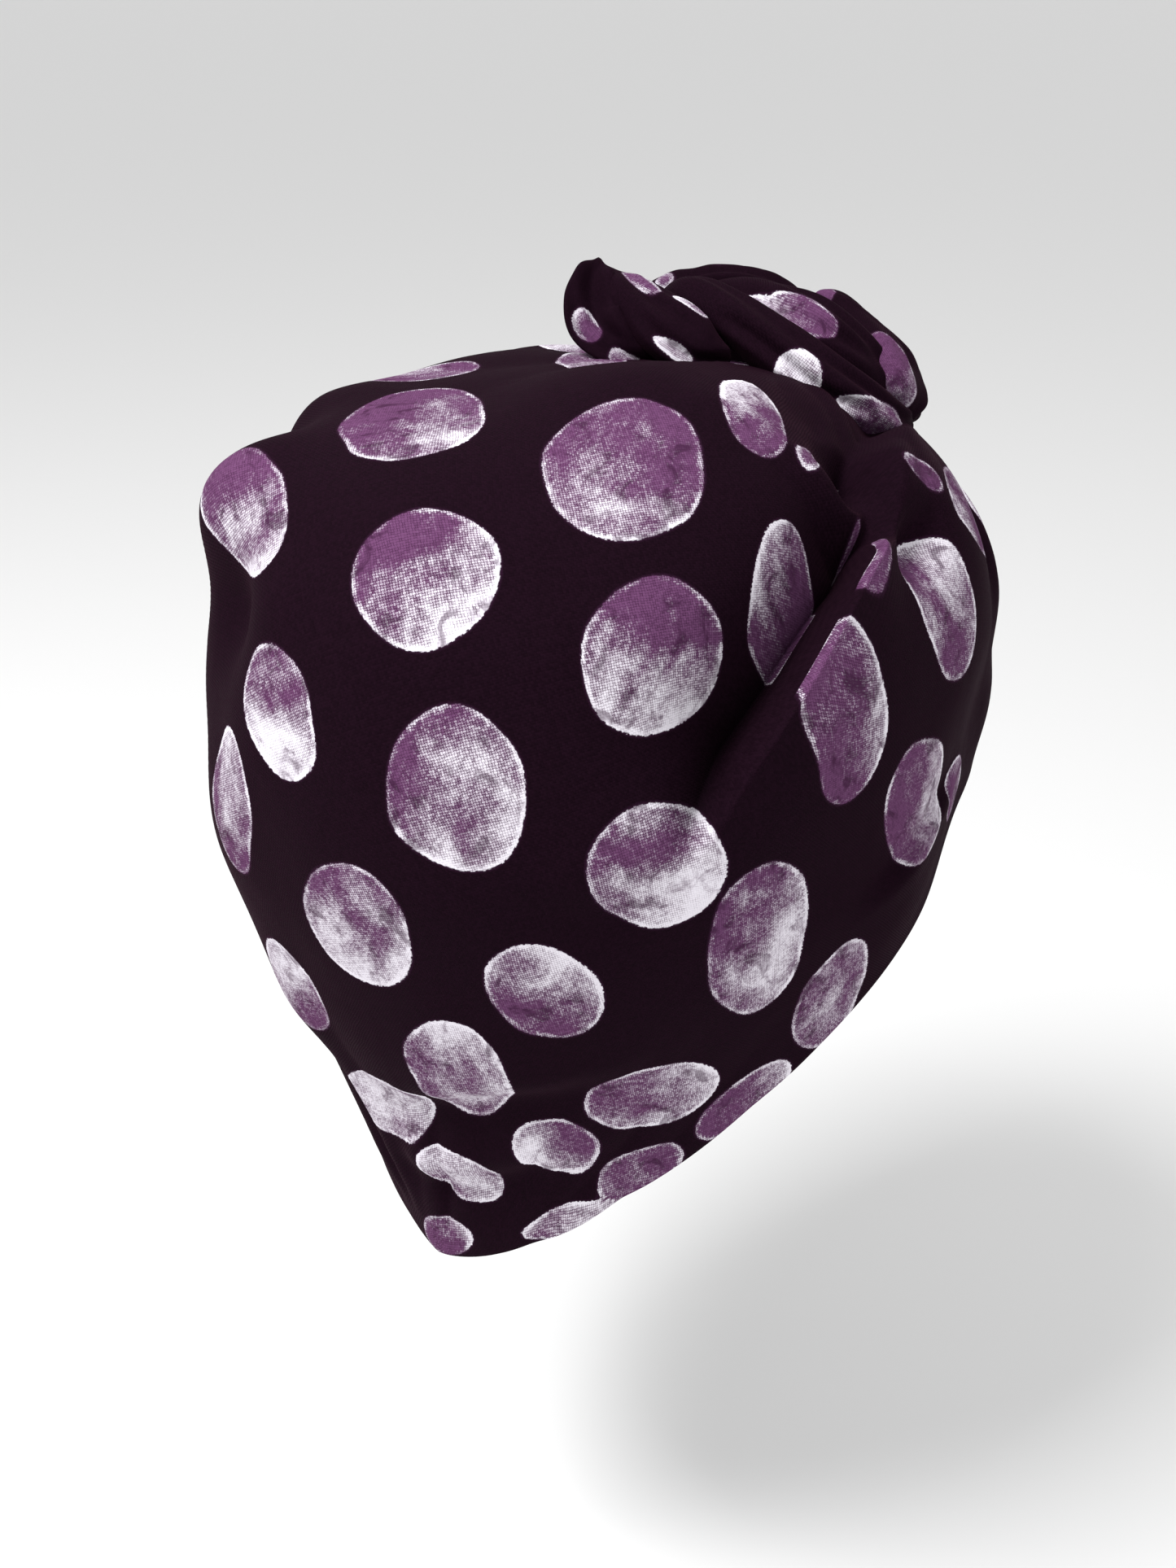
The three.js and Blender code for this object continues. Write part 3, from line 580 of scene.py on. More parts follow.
def fold_cloth(cap, fold, places, outward):
    """How one fold moves each place, as shift vectors."""
    side, walked, right = fold_sides(cap, fold, places, outward)
    strength = smooth_step(walked / fold["fade_in"]) * smooth_step((1 - walked) / fold["fade_out"])
    crease = fold["wall"] * cap.crease_width
    dipped = smooth_step(0.5 + side / crease)
    fall = np.exp(-((np.abs(side) / (fold["reach"] * cap.fold_width)) ** 1.5))
    lift = strength * cap.fold_depth * fall * (fold["ridge"] * (1 - dipped) - fold["dip"] * dipped)
    lap = -fold["tuck"] * strength * side * np.exp(-((side / (0.8 * crease)) ** 2))
    return lift[:, None] * outward + lap[:, None] * right


def painted_valley_shade(cap, fold, side, walked):
    """How much painted shade darkens each place in the valley beside a fold, from 0 to 1. The painted
    shade widens along the fold, fades in over its first part and out over its last."""
    fade_in, fade_out = 0.3, 0.12
    strength = smooth_step(walked / fade_in) * smooth_step((1 - walked) / fade_out)
    sunken_painted_shade = smooth_step(0.25 + side / (fold["wall"] * cap.crease_width))
    width = cap.painted_shade_width * (0.5 + 0.7 * walked)
    return strength * sunken_painted_shade * np.exp(-((side / width) ** 2))


def slack_waves(cap, points):
    """Height of the soft seeded waves at each point."""
    wave_length = 0.045
    shift = Vector((7.1, 3.3, 5.7))
    return np.array([
        cap.slack * noise.fractal(Vector(p) / wave_length + shift, 0.6, 2.0, 2) for p in points])


def knot_matrix(knot):
    turn = Matrix.Rotation(knot.tilt, 4, "X") @ Matrix.Rotation(knot.yaw, 4, "Z")
    return Matrix.Translation(Vector(knot.seat)) @ turn


def folded_cap(cap, knot, bearing, rise):
    """Points of the cap's outer face with its folds, puffs, gathers and waves."""
    places = smooth_cap(cap, bearing, rise)
    _, outward, _ = smooth_directions(cap, bearing, rise)
    shift = np.zeros_like(places)
    for fold in as_rows(FOLD_COLUMNS, FOLDS):
        shift += fold_cloth(cap, fold, places, outward)
    offset = np.zeros(len(places))
    for puff in as_rows(PUFF_COLUMNS, PUFFS):
        distance = np.linalg.norm(places - smooth_cap(cap, *puff["at"]), axis=1)
        fall = np.exp(-((distance / (puff["reach"] * cap.puff_reach)) ** 2))
        offset += puff["height"] * cap.puff_height * fall
    offset += gathers(cap, knot, places)
    offset += slack_waves(cap, places)
    return places + shift + offset[:, None] * outward


def gathers(cap, knot, places):
    """Small gathers that run out from under the knot."""
    # Metres from the middle of the knot, where they start and where they begin to fade,
    # with the lengths over which they grow and fade.
    start, grow_length, fading, fade_length = 0.020, 0.015, 0.045, 0.030
    knot_oval = 1.1
    folds_round, fold_length = 3.4, 0.06
    local = places - np.array(knot.seat)
    turned = knot_matrix(knot).to_3x3()
    axis, along = np.array(turned.col[2]), np.array(turned.col[0])
    across = np.cross(axis, along)
    x, y = local @ along, local @ across
    reach = np.hypot(x / knot_oval, y)
    turn = np.arctan2(y, x)
    fade = smooth_step((reach - start) / grow_length)
    fade = fade * np.exp(-((np.maximum(reach - fading, 0) / fade_length) ** 1.3))
    ripple = np.array([
        noise.noise(Vector((folds_round * math.cos(a), folds_round * math.sin(a), r / fold_length)))
        for a, r in zip(turn, reach)
    ])
    return cap.gather_depth * fade * (2.6 * np.abs(ripple) - 0.7)


def column_bearings(cap, column, rise):
    """Bearings of the cap's columns, closer together on the wearer's right and leaning
    there along the deepest fold."""
    dense_bearing, dense_share = 110.0, 0.4
    main = as_rows(FOLD_COLUMNS, FOLDS)[MAIN_PLEAT]
    even = 360.0 * column / cap.columns
    walked = np.clip((rise - main["end"][1]) / (main["start"][1] - main["end"][1]), 0, 1)
    lean = walked * (main["start"][0] - main["end"][0])
    return even - math.degrees(dense_share) * np.sin(np.radians(even - dense_bearing)) + lean


def spot_frames(cap):
    """Charted ovals of the cap, and seeded ones where they stay clear of the others."""
    most_overlap = 2  # millimetres, measured along the wide axes
    spots = []
    for index, spot in enumerate(as_rows(SPOT_COLUMNS, CAP_SPOTS) + seeded_spots()):
        bearing, rise = np.array([float(spot["bearing"])]), np.array([spot["rise"]])
        level, outward, upward = (v[0] for v in smooth_directions(cap, bearing, rise))
        middle = smooth_cap(cap, bearing, rise)[0]
        charted = index < len(CAP_SPOTS)
        gaps = [
            np.linalg.norm(middle - other["middle"]) / MM - other["wide"] - spot["wide"]
            for other in spots
        ]
        if charted or min(gaps) > -most_overlap:
            spots.append(dict(
                spot, middle=middle, level=level, upward=upward, outward=outward, seed=index + 1))
    return spots


def seeded_spots():
    """Ovals all over the sides of the cap that the chart leaves out. Each row has a rise
    and a count of ovals, and every other row is moved along by part of a space."""
    rng = np.random.default_rng(11)
    rows = ((0.05, 9), (0.20, 8), (0.34, 8), (0.48, 7), (0.62, 7), (0.76, 6), (0.88, 4))
    first, last = 212.0, 404.0
    extra = []
    for number, (rise, count) in enumerate(rows):
        moved = 0.5 if number % 2 else 0.15
        for index in range(count):
            bearing = first + (last - first) * (index + moved) / count
            extra.append(dict(
                bearing=(bearing + rng.uniform(-3, 3)) % 360, rise=rise + rng.uniform(-0.02, 0.02),
                wide=rng.uniform(15, 19), tall=rng.uniform(12, 16), tilt=rng.uniform(40, 130),
                egg=rng.uniform(-0.1, 0.1), pale=rng.uniform(0.2, 0.65), faded=rng.uniform(0.1, 0.4),
                fade_way=rng.uniform(0, 360)))
    return extra


def print_ovals(spots, points, normals, scale, pleat_side=0.0):
    """Distance to the nearest oval's edge in millimetres, place in that oval with its
    seed, and paleness of the dye, for each point of the cloth. pleat_side is how far a
    point is from the main pleat, which some ovals are cut at."""
    inmost, outmost = -30, 50
    wobble, wobble_scale, wobble_reach = 1.6, 0.075, 8
    most_stretch = 1.6
    least_facing, turned_away = 0.15, 30
    fade_strength = 1.5
    wobble_apart, dye_apart = 3.7, 37.0  # between the noise of one seed and the next
    edge = np.full(len(points), float(outmost))
    place = np.zeros((len(points), 3))
    pale = np.zeros(len(points))
    for spot in spots:
        gap = (points - spot["middle"]) / MM
        u, v = gap @ spot["level"], gap @ spot["upward"]
        flat = np.hypot(u, v)
        stretch = np.linalg.norm(gap, axis=1) / np.maximum(flat, 1e-6)
        stretch = np.minimum(stretch, most_stretch)
        u, v = u * stretch, v * stretch
        turn = math.radians(spot["tilt"])
        a = u * math.cos(turn) + v * math.sin(turn)
        b = -u * math.sin(turn) + v * math.cos(turn)
        wide, tall = spot["wide"] * scale, spot["tall"] * scale
        narrowed = tall * (1 - spot["egg"] * np.clip(a / wide, -1, 1))
        ratio = np.hypot(a / wide, b / narrowed)
        facing = normals @ spot["outward"]
        slope = np.hypot(a / wide**2, b / narrowed**2) / np.maximum(ratio, 1e-6)
        distance = (ratio - 1) / np.maximum(slope, 1 / wide)
        for index in np.nonzero((distance < wobble_reach) & (facing > 0))[0]:
            across, along = wobble_scale * a[index], wobble_scale * b[index]
            where = Vector((across, along, spot["seed"] * wobble_apart))
            distance[index] += wobble * noise.noise(where)
        distance = distance + turned_away * np.maximum(least_facing - facing, 0)
        if spot.get("cut"):
            past_cut = CUT_PLACE - spot["cut"] * pleat_side / MM
            distance = np.maximum(distance, CUT_SHARPNESS * past_cut)
        distance = np.clip(distance, inmost, outmost)
        nearer = distance < edge
        way = math.radians(spot["fade_way"])
        toward = (u * math.cos(way) + v * math.sin(way)) / wide
        edge = np.where(nearer, distance, edge)
        place[nearer] = np.stack([a, b, np.full(len(a), spot["seed"] * dye_apart)], 1)[nearer]
        pale = np.where(nearer, spot["pale"] + fade_strength * spot["faded"] * toward, pale)
    return edge, place, pale


def weave_places(points):
    """Flat thread coordinates in millimetres, measured out from the cap's right rear
    and, on its other half, from the opposite side."""
    middle = np.array([0.0, 0.010, 0.045])
    right_rear = unit(np.array([-0.62, 0.66, 0.42]))
    radius = 110.0
    turn = math.radians(12)
    level = unit(np.cross([0.0, 0.0, 1.0], right_rear))
    upward = np.cross(right_rear, level)
    direction = unit(points - middle)
    side = np.where(direction @ right_rear < 0, -1.0, 1.0)
    angle = np.arccos(np.clip(np.abs(direction @ right_rear), 0, 1))
    x, y = direction @ level, direction @ upward
    size = np.maximum(np.hypot(x, y), 1e-9)
    u, v = radius * angle * x / size, radius * angle * y / size
    return np.stack([
        u * math.cos(turn) + v * math.sin(turn),
        v * math.cos(turn) - u * math.sin(turn),
        side,
    ], 1)


def set_attribute(mesh, name, kind, values):
    """Store a number or a vector for each vertex, which the cloth's shaders read."""
    layer = mesh.attributes.new(name, kind, "POINT")
    field = "vector" if kind == "FLOAT_VECTOR" else "value"
    layer.data.foreach_set(field, np.asarray(values, np.float32).ravel())


def make_piece(name, points, faces, prints, weave, materials, material_indices=None):
    """A mesh object whose vertices carry the cloth's print and weave, and the painted shade of the
    main pleat's valley.
    """
    mesh = bpy.data.meshes.new(name)
    mesh.from_pydata([tuple(p) for p in points], [], [tuple(f) for f in faces])
    mesh.validate()
    for material in materials:
        mesh.materials.append(material)
    mesh.polygons.foreach_set("use_smooth", np.ones(len(mesh.polygons), bool))
    if material_indices is not None:
        mesh.polygons.foreach_set("material_index", np.asarray(material_indices, np.int32))
    edge, place, pale, painted_shade = prints
    set_attribute(mesh, "oval_edge", "FLOAT", edge)
    set_attribute(mesh, "oval_place", "FLOAT_VECTOR", place)
    set_attribute(mesh, "oval_pale", "FLOAT", pale)
    # Painted shade: how far the colour is darkened in the main pleat's valley.
    set_attribute(mesh, "painted_valley_shade", "FLOAT", painted_shade)
    set_attribute(mesh, "thread_place", "FLOAT_VECTOR", weave)
    mesh.update()
    piece = bpy.data.objects.new(name, mesh)
    bpy.context.scene.collection.objects.link(piece)
    return piece


def skin_faces(columns, rows, first, outward):
    """Faces of a skin of rings that ends in one point."""
    faces = []
    top = first + rows * columns
    for row in range(rows):
        ring = first + row * columns
        for column in range(columns):
            low, after = ring + column, ring + (column + 1) % columns
            if row < rows - 1:
                face = (low, after, after + columns, low + columns)
            else:
                face = (low, after, top)
            faces.append(face[::-1] if outward else face)
    return faces


def ring_normals(points, columns, rows):
    """Outward directions of a skin of rings that ends in one point."""
    grid = points[:-1].reshape(rows, columns, 3)
    level = np.roll(grid, -1, 1) - np.roll(grid, 1, 1)
    upward = np.gradient(grid, axis=0)
    normals = unit(np.cross(upward, level)).reshape(-1, 3)
    return np.vstack([normals, [[0.0, 0.0, 1.0]]])


def build_cap(cap, knot, looks, materials):
    """The cap as one closed cloth wall: printed outer face, turned hem, plain reverse."""
    columns, rows = cap.columns, cap.rows
    column, row = np.meshgrid(np.arange(columns), np.arange(rows))
    rise = (row / rows).ravel()
    bearing = column_bearings(cap, column.ravel(), rise)
    bearing, rise = np.append(bearing, 0.0), np.append(rise, 1.0)
    plain = smooth_cap(cap, bearing, rise)
    _, outward, _ = smooth_directions(cap, bearing, rise)
    outer = folded_cap(cap, knot, bearing, rise)
    normals = ring_normals(outer, columns, rows)
    pleat = as_rows(FOLD_COLUMNS, FOLDS)[MAIN_PLEAT]
    pleat_side, walked, _ = fold_sides(cap, pleat, plain, outward)
    # The prints end with the painted shade that darkens the main pleat's valley.
    prints = (*print_ovals(spot_frames(cap), plain, outward, looks.spot_size, pleat_side),
              painted_valley_shade(cap, pleat, pleat_side, walked))
    weave = weave_places(plain)

    # The reverse has half as many columns and rows as the printed face.
    picked = [r * columns + c for r in range(0, rows, 2) for c in range(0, columns, 2)]
    picked = np.array(picked + [rows * columns])
    above_hem = np.linalg.norm(outer[picked] - outer[picked % columns], axis=1)
    above_hem[: columns // 2] = 0.0
    above_hem[-1] = 1.0
    hem_step = 0.15 * cap.hem_band
    thinner = smooth_step((above_hem - cap.hem_band) / hem_step)
    wall = cap.hem_wall + (cap.cloth_wall - cap.hem_wall) * thinner
    inner = outer[picked] - wall[:, None] * normals[picked]
    # One more ring, half way through the wall and a little lower, rounds the hem.
    rounded = outer[:columns] - 0.5 * cap.hem_wall * normals[:columns]
    rounded[:, 2] -= 0.35 * cap.hem_wall

    points = np.vstack([outer, inner, rounded])
    first_inner, first_round = len(outer), len(outer) + len(inner)
    half = columns // 2
    printed = skin_faces(columns, rows, 0, True)
    reverse = skin_faces(half, rows // 2, first_inner, False)
    hem = []
    for index in range(columns):
        after = (index + 1) % columns
        hem.append((index, after, first_round + after, first_round + index))
    for index in range(half):
        a, b, c = (first_round + (2 * index + k) % columns for k in (0, 1, 2))
        low, after = first_inner + index, first_inner + (index + 1) % half
        hem += [(a, b, low), (b, after, low), (b, c, after)]
    indices = np.repeat([0, 1, 0], [len(printed), len(reverse), len(hem)])

    def widen(values):
        return np.concatenate([values, values[picked], values[:columns]])

    prints = [widen(values) for values in prints]
    faces = printed + reverse + hem
    return make_piece("turban_cap", points, faces, prints, widen(weave), materials, indices)


def roll_line(knot, stations, t):
    """Points of a centripetal curve through a roll's stations, in the knot's frame."""
    sizes = np.array([knot.length / 2, knot.depth / 2, knot.height])
    fixed = np.array([row[:3] for row in stations]) * sizes
    fixed = np.vstack([2 * fixed[0] - fixed[1], fixed, 2 * fixed[-1] - fixed[-2]])
    span = np.clip(t, 0, 1) * (len(stations) - 1)
    index = np.minimum(span.astype(int), len(stations) - 2)
    w = (span - index)[:, None]
    p0, p1, p2, p3 = (fixed[index + k] for k in range(4))
    d0, d1, d2 = (
        np.linalg.norm(b - a, axis=1, keepdims=True) ** 0.5 for a, b in ((p0, p1), (p1, p2), (p2, p3)))
    m1 = ((p1 - p0) / d0 - (p2 - p0) / (d0 + d1) + (p2 - p1) / d1) * d1
    m2 = ((p2 - p1) / d1 - (p3 - p1) / (d1 + d2) + (p3 - p2) / d2) * d1
    return (
        p1 * (2 * w**3 - 3 * w**2 + 1) + m1 * (w**3 - 2 * w**2 + w)
        + p2 * (3 * w**2 - 2 * w**3) + m2 * (w**3 - w**2)
    )


def roll_waves(lengths, turns, number):
    """Soft waves over a roll, as a share of the pleat depth."""
    height, round_scale, along_scale, twist = 0.8, 1.3, 2.2, 0.8
    rolls_apart = 9.0  # between the noise of one roll and the next
    return height * np.array([[
        noise.noise(Vector((
            round_scale * math.cos(a + twist * s),
            round_scale * math.sin(a + twist * s),
            along_scale * s + rolls_apart * number,
        )))
        for a in turns] for s in lengths])


def roll_crease(knot, crease, lengths, turns, wide, thick, number):
    """Depth of one crease along a roll, with a low swelling to each side of it."""
    fade_length, swelling, swelling_place, swelling_width = 0.25, 0.45, 1.6, 0.8
    walked = (lengths - crease["start"]) / (crease["end"] - crease["start"])
    turned = np.clip(walked, 0, 1) * (crease["to_turn"] - crease["from_turn"])
    bearing = np.radians(crease["from_turn"] + turned) + 0.12 * np.sin(7 * walked + number)
    apart = np.hypot(wide[:, None] * (np.cos(turns) - np.cos(bearing)[:, None]),
                     thick[:, None] * (np.sin(turns) - np.sin(bearing)[:, None]))
    fade = smooth_step(walked / fade_length) * smooth_step((1 - walked) / fade_length)
    share = apart / (crease["reach"] * knot.pleat_width)
    beside = np.exp(-(((share - swelling_place) / swelling_width) ** 2))
    valley = np.exp(-(share**2)) - swelling * beside
    return crease["depth"] * knot.pleat_depth * fade[:, None] * valley


def build_roll(knot, looks, name, stations, number, material):
    """One roll of wound cloth with pleats along it."""
    rings, sides = knot.rings, knot.sides
    nudge = 1e-4
    t = 0.5 - 0.5 * np.cos(np.pi * np.arange(1, rings) / rings)
    centre = roll_line(knot, stations, t)
    heading = unit(roll_line(knot, stations, t + nudge) - roll_line(knot, stations, t - nudge))
    core = np.array(ROLL_CORES[name]) * (knot.length / 2, knot.depth / 2, knot.height)
    out = centre - core
    out = unit(out - heading * (out * heading).sum(1, keepdims=True))
    across = np.cross(heading, out)
    end = np.minimum(np.minimum(t, 1 - t), END_ROUND) / END_ROUND
    round_off = np.sqrt(1 - (1 - end) ** 2)
    columns = ("place", *STATION_COLUMNS)
    rows = [(index, *row) for index, row in enumerate(stations)]
    place = t * (len(stations) - 1)

    def at(column):
        return table_value(columns, rows, "place", column, place)

    wide, thick = (round_off * at(c) * knot.height / 2 for c in ("wide", "thick"))
    cup = at("cup") * wide
    turn = 2 * np.pi * np.arange(sides) / sides
    cosine, sine = signed_power(np.cos(turn), SQUARENESS), signed_power(np.sin(turn), SQUARENESS)
    spread = wide[:, None] * cosine
    raised = thick[:, None] * sine - cup[:, None] * (cosine**2 - 0.5)
    grid = centre[:, None] + spread[..., None] * across[:, None] + raised[..., None] * out[:, None]
    normal = unit(cosine[None, :, None] * across[:, None] * thick[:, None, None]
                  + sine[None, :, None] * out[:, None] * wide[:, None, None])
    depth = knot.pleat_depth * round_off[:, None] * roll_waves(t, turn, number)
    for crease in as_rows(CREASE_COLUMNS, CREASES):
        if crease["roll"] == name:
            depth -= roll_crease(knot, crease, t, turn, wide, thick, number)
    grid = grid + depth[..., None] * normal
    ends = roll_line(knot, stations, np.array([0.0, 1.0]))
    local = np.vstack([grid.reshape(-1, 3), ends])
    matrix = np.array(knot_matrix(knot))
    points = local @ matrix[:3, :3].T + matrix[:3, 3]
    normals = np.vstack([normal.reshape(-1, 3), -heading[:1], heading[-1:]]) @ matrix[:3, :3].T

    faces = []
    start, finish = (rings - 1) * sides, (rings - 1) * sides + 1
    for ring in range(rings - 2):
        for side in range(sides):
            low, after = ring * sides + side, ring * sides + (side + 1) % sides
            faces.append((low, low + sides, after + sides, after))
    for side in range(sides):
        after = (side + 1) % sides
        faces.append((start, side, after))
        faces.append((finish, (rings - 2) * sides + after, (rings - 2) * sides + side))

    first_seed = 80
    spots = []
    for index, spot in enumerate(as_rows(KNOT_SPOT_COLUMNS, KNOT_SPOTS)):
        if spot["roll"] != name:
            continue
        ring = int(np.argmin(np.abs(t - spot["length_at"])))
        side = int(spot["turn_at"] / 360 * sides) % sides
        middle = ring * sides + side
        outward = normals[middle]
        level = heading[ring] @ matrix[:3, :3].T
        level = unit(level - outward * (level @ outward))
        spots.append(dict(spot, middle=points[middle], level=level, outward=outward,
                          upward=np.cross(outward, level), seed=first_seed + index))
    # The rolls get no painted valley shade, so that value is zero.
    prints = (*print_ovals(spots, points, normals, looks.spot_size), np.zeros(len(points)))
    cloth_length, cloth_radius = 110.0, 9.0  # millimetres that the threads count along and round
    along = np.concatenate([np.repeat(t * cloth_length, sides), [0.0, cloth_length]])
    round_it = np.concatenate([np.tile(turn * cloth_radius, rings - 1), [0.0, 0.0]])
    weave = np.stack([along, round_it, np.full(len(along), float(number))], 1)
    return make_piece(name, points, faces, prints, weave, [material])


def new_group(name, inputs, outputs):
    """A shader node group with named sockets, given as (name, kind, default)."""
    group = bpy.data.node_groups.new(name, "ShaderNodeTree")
    for socket_name, kind, default in inputs:
        socket = group.interface.new_socket(name=socket_name, in_out="INPUT", socket_type=kind)
        if default is not None:
            socket.default_value = default
    for socket_name, kind in outputs:
        group.interface.new_socket(name=socket_name, in_out="OUTPUT", socket_type=kind)
    return group


class Wiring:
    """Short calls to add and join nodes of one tree."""

    def __init__(self, tree):
        self.tree = tree

    def node(self, kind, **settings):
        node = self.tree.nodes.new(kind)
        for key, value in settings.items():
            setattr(node, key, value)
        return node

    def feed(self, socket, value):
        if isinstance(value, bpy.types.NodeSocket):
            self.tree.links.new(value, socket)
        elif value is not None:
            socket.default_value = value

    def math(self, operation, *values):
        node = self.node("ShaderNodeMath", operation=operation)
        for socket, value in zip(node.inputs, values):
            self.feed(socket, value)
        return node.outputs[0]

    def plus(self, one, other):
        return self.math("ADD", one, other)

    def times(self, one, other):
        return self.math("MULTIPLY", one, other)

    def around(self, value, middle, strength):
        """How far a value is above its middle, times a strength."""
        return self.times(self.math("SUBTRACT", value, middle), strength)

    def toned(self, colour, share):
        """The colour made lighter or darker by a share."""
        node = self.node("ShaderNodeVectorMath", operation="SCALE")
        self.feed(node.inputs[0], colour)
        self.feed(node.inputs["Scale"], share)
        return node.outputs[0]

    def attribute(self, name):
        return self.node("ShaderNodeAttribute", attribute_type="GEOMETRY", attribute_name=name)

    def bump(self, height, depth, strength, normal=None):
        """The surface's normal with a relief of a depth in metres."""
        node = self.node("ShaderNodeBump")
        for key, value in (("Strength", strength), ("Distance", depth),
                           ("Height", height), ("Normal", normal)):
            self.feed(node.inputs[key], value)
        return node.outputs["Normal"]

    def spread(self, value, low, high, to_low=0.0, to_high=1.0, smooth=True):
        """The value carried from one range to another, evenly or with soft ends."""
        blend = "SMOOTHSTEP" if smooth else "LINEAR"
        node = self.node("ShaderNodeMapRange", interpolation_type=blend)
        for socket, given in zip(node.inputs, (value, low, high, to_low, to_high)):
            self.feed(socket, given)
        return node.outputs[0]

    def noise(self, place, scale, detail=2.0, roughness=0.5, distortion=0.0):
        node = self.node("ShaderNodeTexNoise")
        for key, value in (("Vector", place), ("Scale", scale), ("Detail", detail),
                           ("Roughness", roughness), ("Distortion", distortion)):
            self.feed(node.inputs[key], value)
        return node.outputs["Fac"]

    def mix(self, share, one, other):
        node = self.node("ShaderNodeMix", data_type="RGBA")
        for key, value in ((0, share), (6, one), (7, other)):
            self.feed(node.inputs[key], value)
        return node.outputs[2]


def weave_group():
    """Plain weave: height of the threads and a tone that differs from thread to thread."""
    group = new_group(
        "Plain weave",
        [("Place", "NodeSocketVector", None), ("Pitch", "NodeSocketFloat", 0.5)],
        [("Height", "NodeSocketFloat"), ("Thread", "NodeSocketFloat")])
    w = Wiring(group)
    given, result = w.node("NodeGroupInput"), w.node("NodeGroupOutput")
    place, pitch = given.outputs["Place"], given.outputs["Pitch"]
    waver = w.noise(place, 0.12, 1.0)
    parts = w.node("ShaderNodeSeparateXYZ")
    w.feed(parts.inputs[0], place)
    across, along = (
        w.math("DIVIDE", w.plus(part, w.times(waver, sway)), pitch)
        for part, sway in ((parts.outputs[0], 1.2), (parts.outputs[1], -1.0)))
    warp, weft = (
        w.math("ABSOLUTE", w.math("SINE", w.times(counted, math.pi))) for counted in (across, along))
    column, row = w.math("FLOOR", across), w.math("FLOOR", along)
    over = w.math("FLOORED_MODULO", w.plus(column, row), 2.0)
    height = w.plus(w.times(over, warp), w.times(w.math("SUBTRACT", 1.0, over), weft))

    # The tone differs most from one crossing of the threads to the next, and a little
    # from thread to thread.
    crossing_share, thread_share = 0.76, 0.12
    cell = w.node("ShaderNodeCombineXYZ")
    w.feed(cell.inputs[0], column)
    w.feed(cell.inputs[1], row)
    scatter = w.node("ShaderNodeTexWhiteNoise", noise_dimensions="3D")
    w.feed(scatter.inputs["Vector"], cell.outputs[0])
    thread = w.times(scatter.outputs["Value"], crossing_share)
    for counted in (column, row):
        line = w.node("ShaderNodeTexWhiteNoise", noise_dimensions="1D")
        w.feed(line.inputs["W"], counted)
        thread = w.plus(thread, w.times(line.outputs["Value"], thread_share))
    w.feed(result.inputs["Height"], height)
    w.feed(result.inputs["Thread"], thread)
    return group


def oval_group():
    """Dyed ovals on a dark ground: violet with cloudy bare patches, dark smudges, painted shade
    between the threads and a thin pale rim. Edge is the distance out from an oval's edge in
    millimetres."""
    number, vector, colour = "NodeSocketFloat", "NodeSocketVector", "NodeSocketColor"
    group = new_group(
        "Dyed ovals",
        [("Edge", number, 10.0), ("Place", vector, None), ("Pale", number, 0.4),
         ("Thread", number, 0.5), ("Height", number, 0.5),
         ("Ground", colour, (0.02, 0.01, 0.02, 1)), ("Deep dye", colour, (0.1, 0.04, 0.1, 1)),
         ("Violet", colour, (0.2, 0.1, 0.2, 1)), ("Bare", colour, (0.7, 0.7, 0.7, 1))],
        [("Color", colour), ("Mask", number)])
    w = Wiring(group)
    given, result = w.node("NodeGroupInput"), w.node("NodeGroupOutput")
    place, thread, height = (given.outputs[key] for key in ("Place", "Thread", "Height"))
    ground, deep_dye = given.outputs["Ground"], given.outputs["Deep dye"]
    edge = w.plus(given.outputs["Edge"], w.around(thread, 0.5, 0.45))
    mask = w.spread(edge, 0.15, -0.15)

    # How bare the cloth is: the oval's own paleness with clouds, streaks, dapples and a
    # broken rim, and then the tone and the height of its threads.
    stretched = w.node("ShaderNodeVectorMath", operation="MULTIPLY")
    w.feed(stretched.inputs[0], place)
    w.feed(stretched.inputs[1], (0.35, 1.0, 1.0))
    cloud = w.noise(place, 0.06, 2.5, 0.48, 0.5)
    streak = w.noise(stretched.outputs[0], 0.30, 3.0, 0.6, 0.3)
    dapple = w.noise(place, 0.55, 2.0, 0.6)
    broken = w.spread(w.noise(place, 0.16, 1.0), 0.35, 0.60, 0.35, 1.0)
    rim = w.times(w.spread(edge, -1.7, -0.3), broken)
    pale = given.outputs["Pale"]
    for part in (
        w.around(cloud, 0.5, 2.0),
        w.around(streak, 0.5, 0.6),
        w.around(dapple, 0.5, 0.28),
        w.times(rim, 0.60),
        w.around(thread, 0.5, 0.40),
        w.around(height, 0.6, 0.60),
    ):
        pale = w.plus(pale, part)
    bare = w.spread(pale, 0.26, 1.16)

    # The dye is deepest in smudges. Where the threads lie low, and on threads of darker tone, the
    # violet is darkened further: painted shade between the threads mixed with their own tone.
    smudge = w.spread(w.noise(place, 0.13, 4.0, 0.65, 0.8), 0.52, 0.66)
    thread_tone_and_painted_shade = w.times(w.spread(w.plus(height, thread), 1.35, 0.55), 0.75)
    smudge_and_thread_shade = w.math("MAXIMUM", w.times(smudge, 0.85), thread_tone_and_painted_shade)
    violet = w.mix(smudge_and_thread_shade, given.outputs["Violet"], deep_dye)
    softened = w.times(bare, w.math("SUBTRACT", 1.0, w.times(smudge, 0.65)))
    oval = w.mix(softened, violet, given.outputs["Bare"])
    fringe = w.mix(w.spread(edge, 0.75, 0.15, 0.0, 0.35), ground, deep_dye)
    toned = w.toned(fringe, w.spread(thread, 0.0, 1.0, 0.8, 1.3, smooth=False))
    w.feed(result.inputs["Color"], w.mix(mask, toned, oval))
    w.feed(result.inputs["Mask"], mask)
    return group


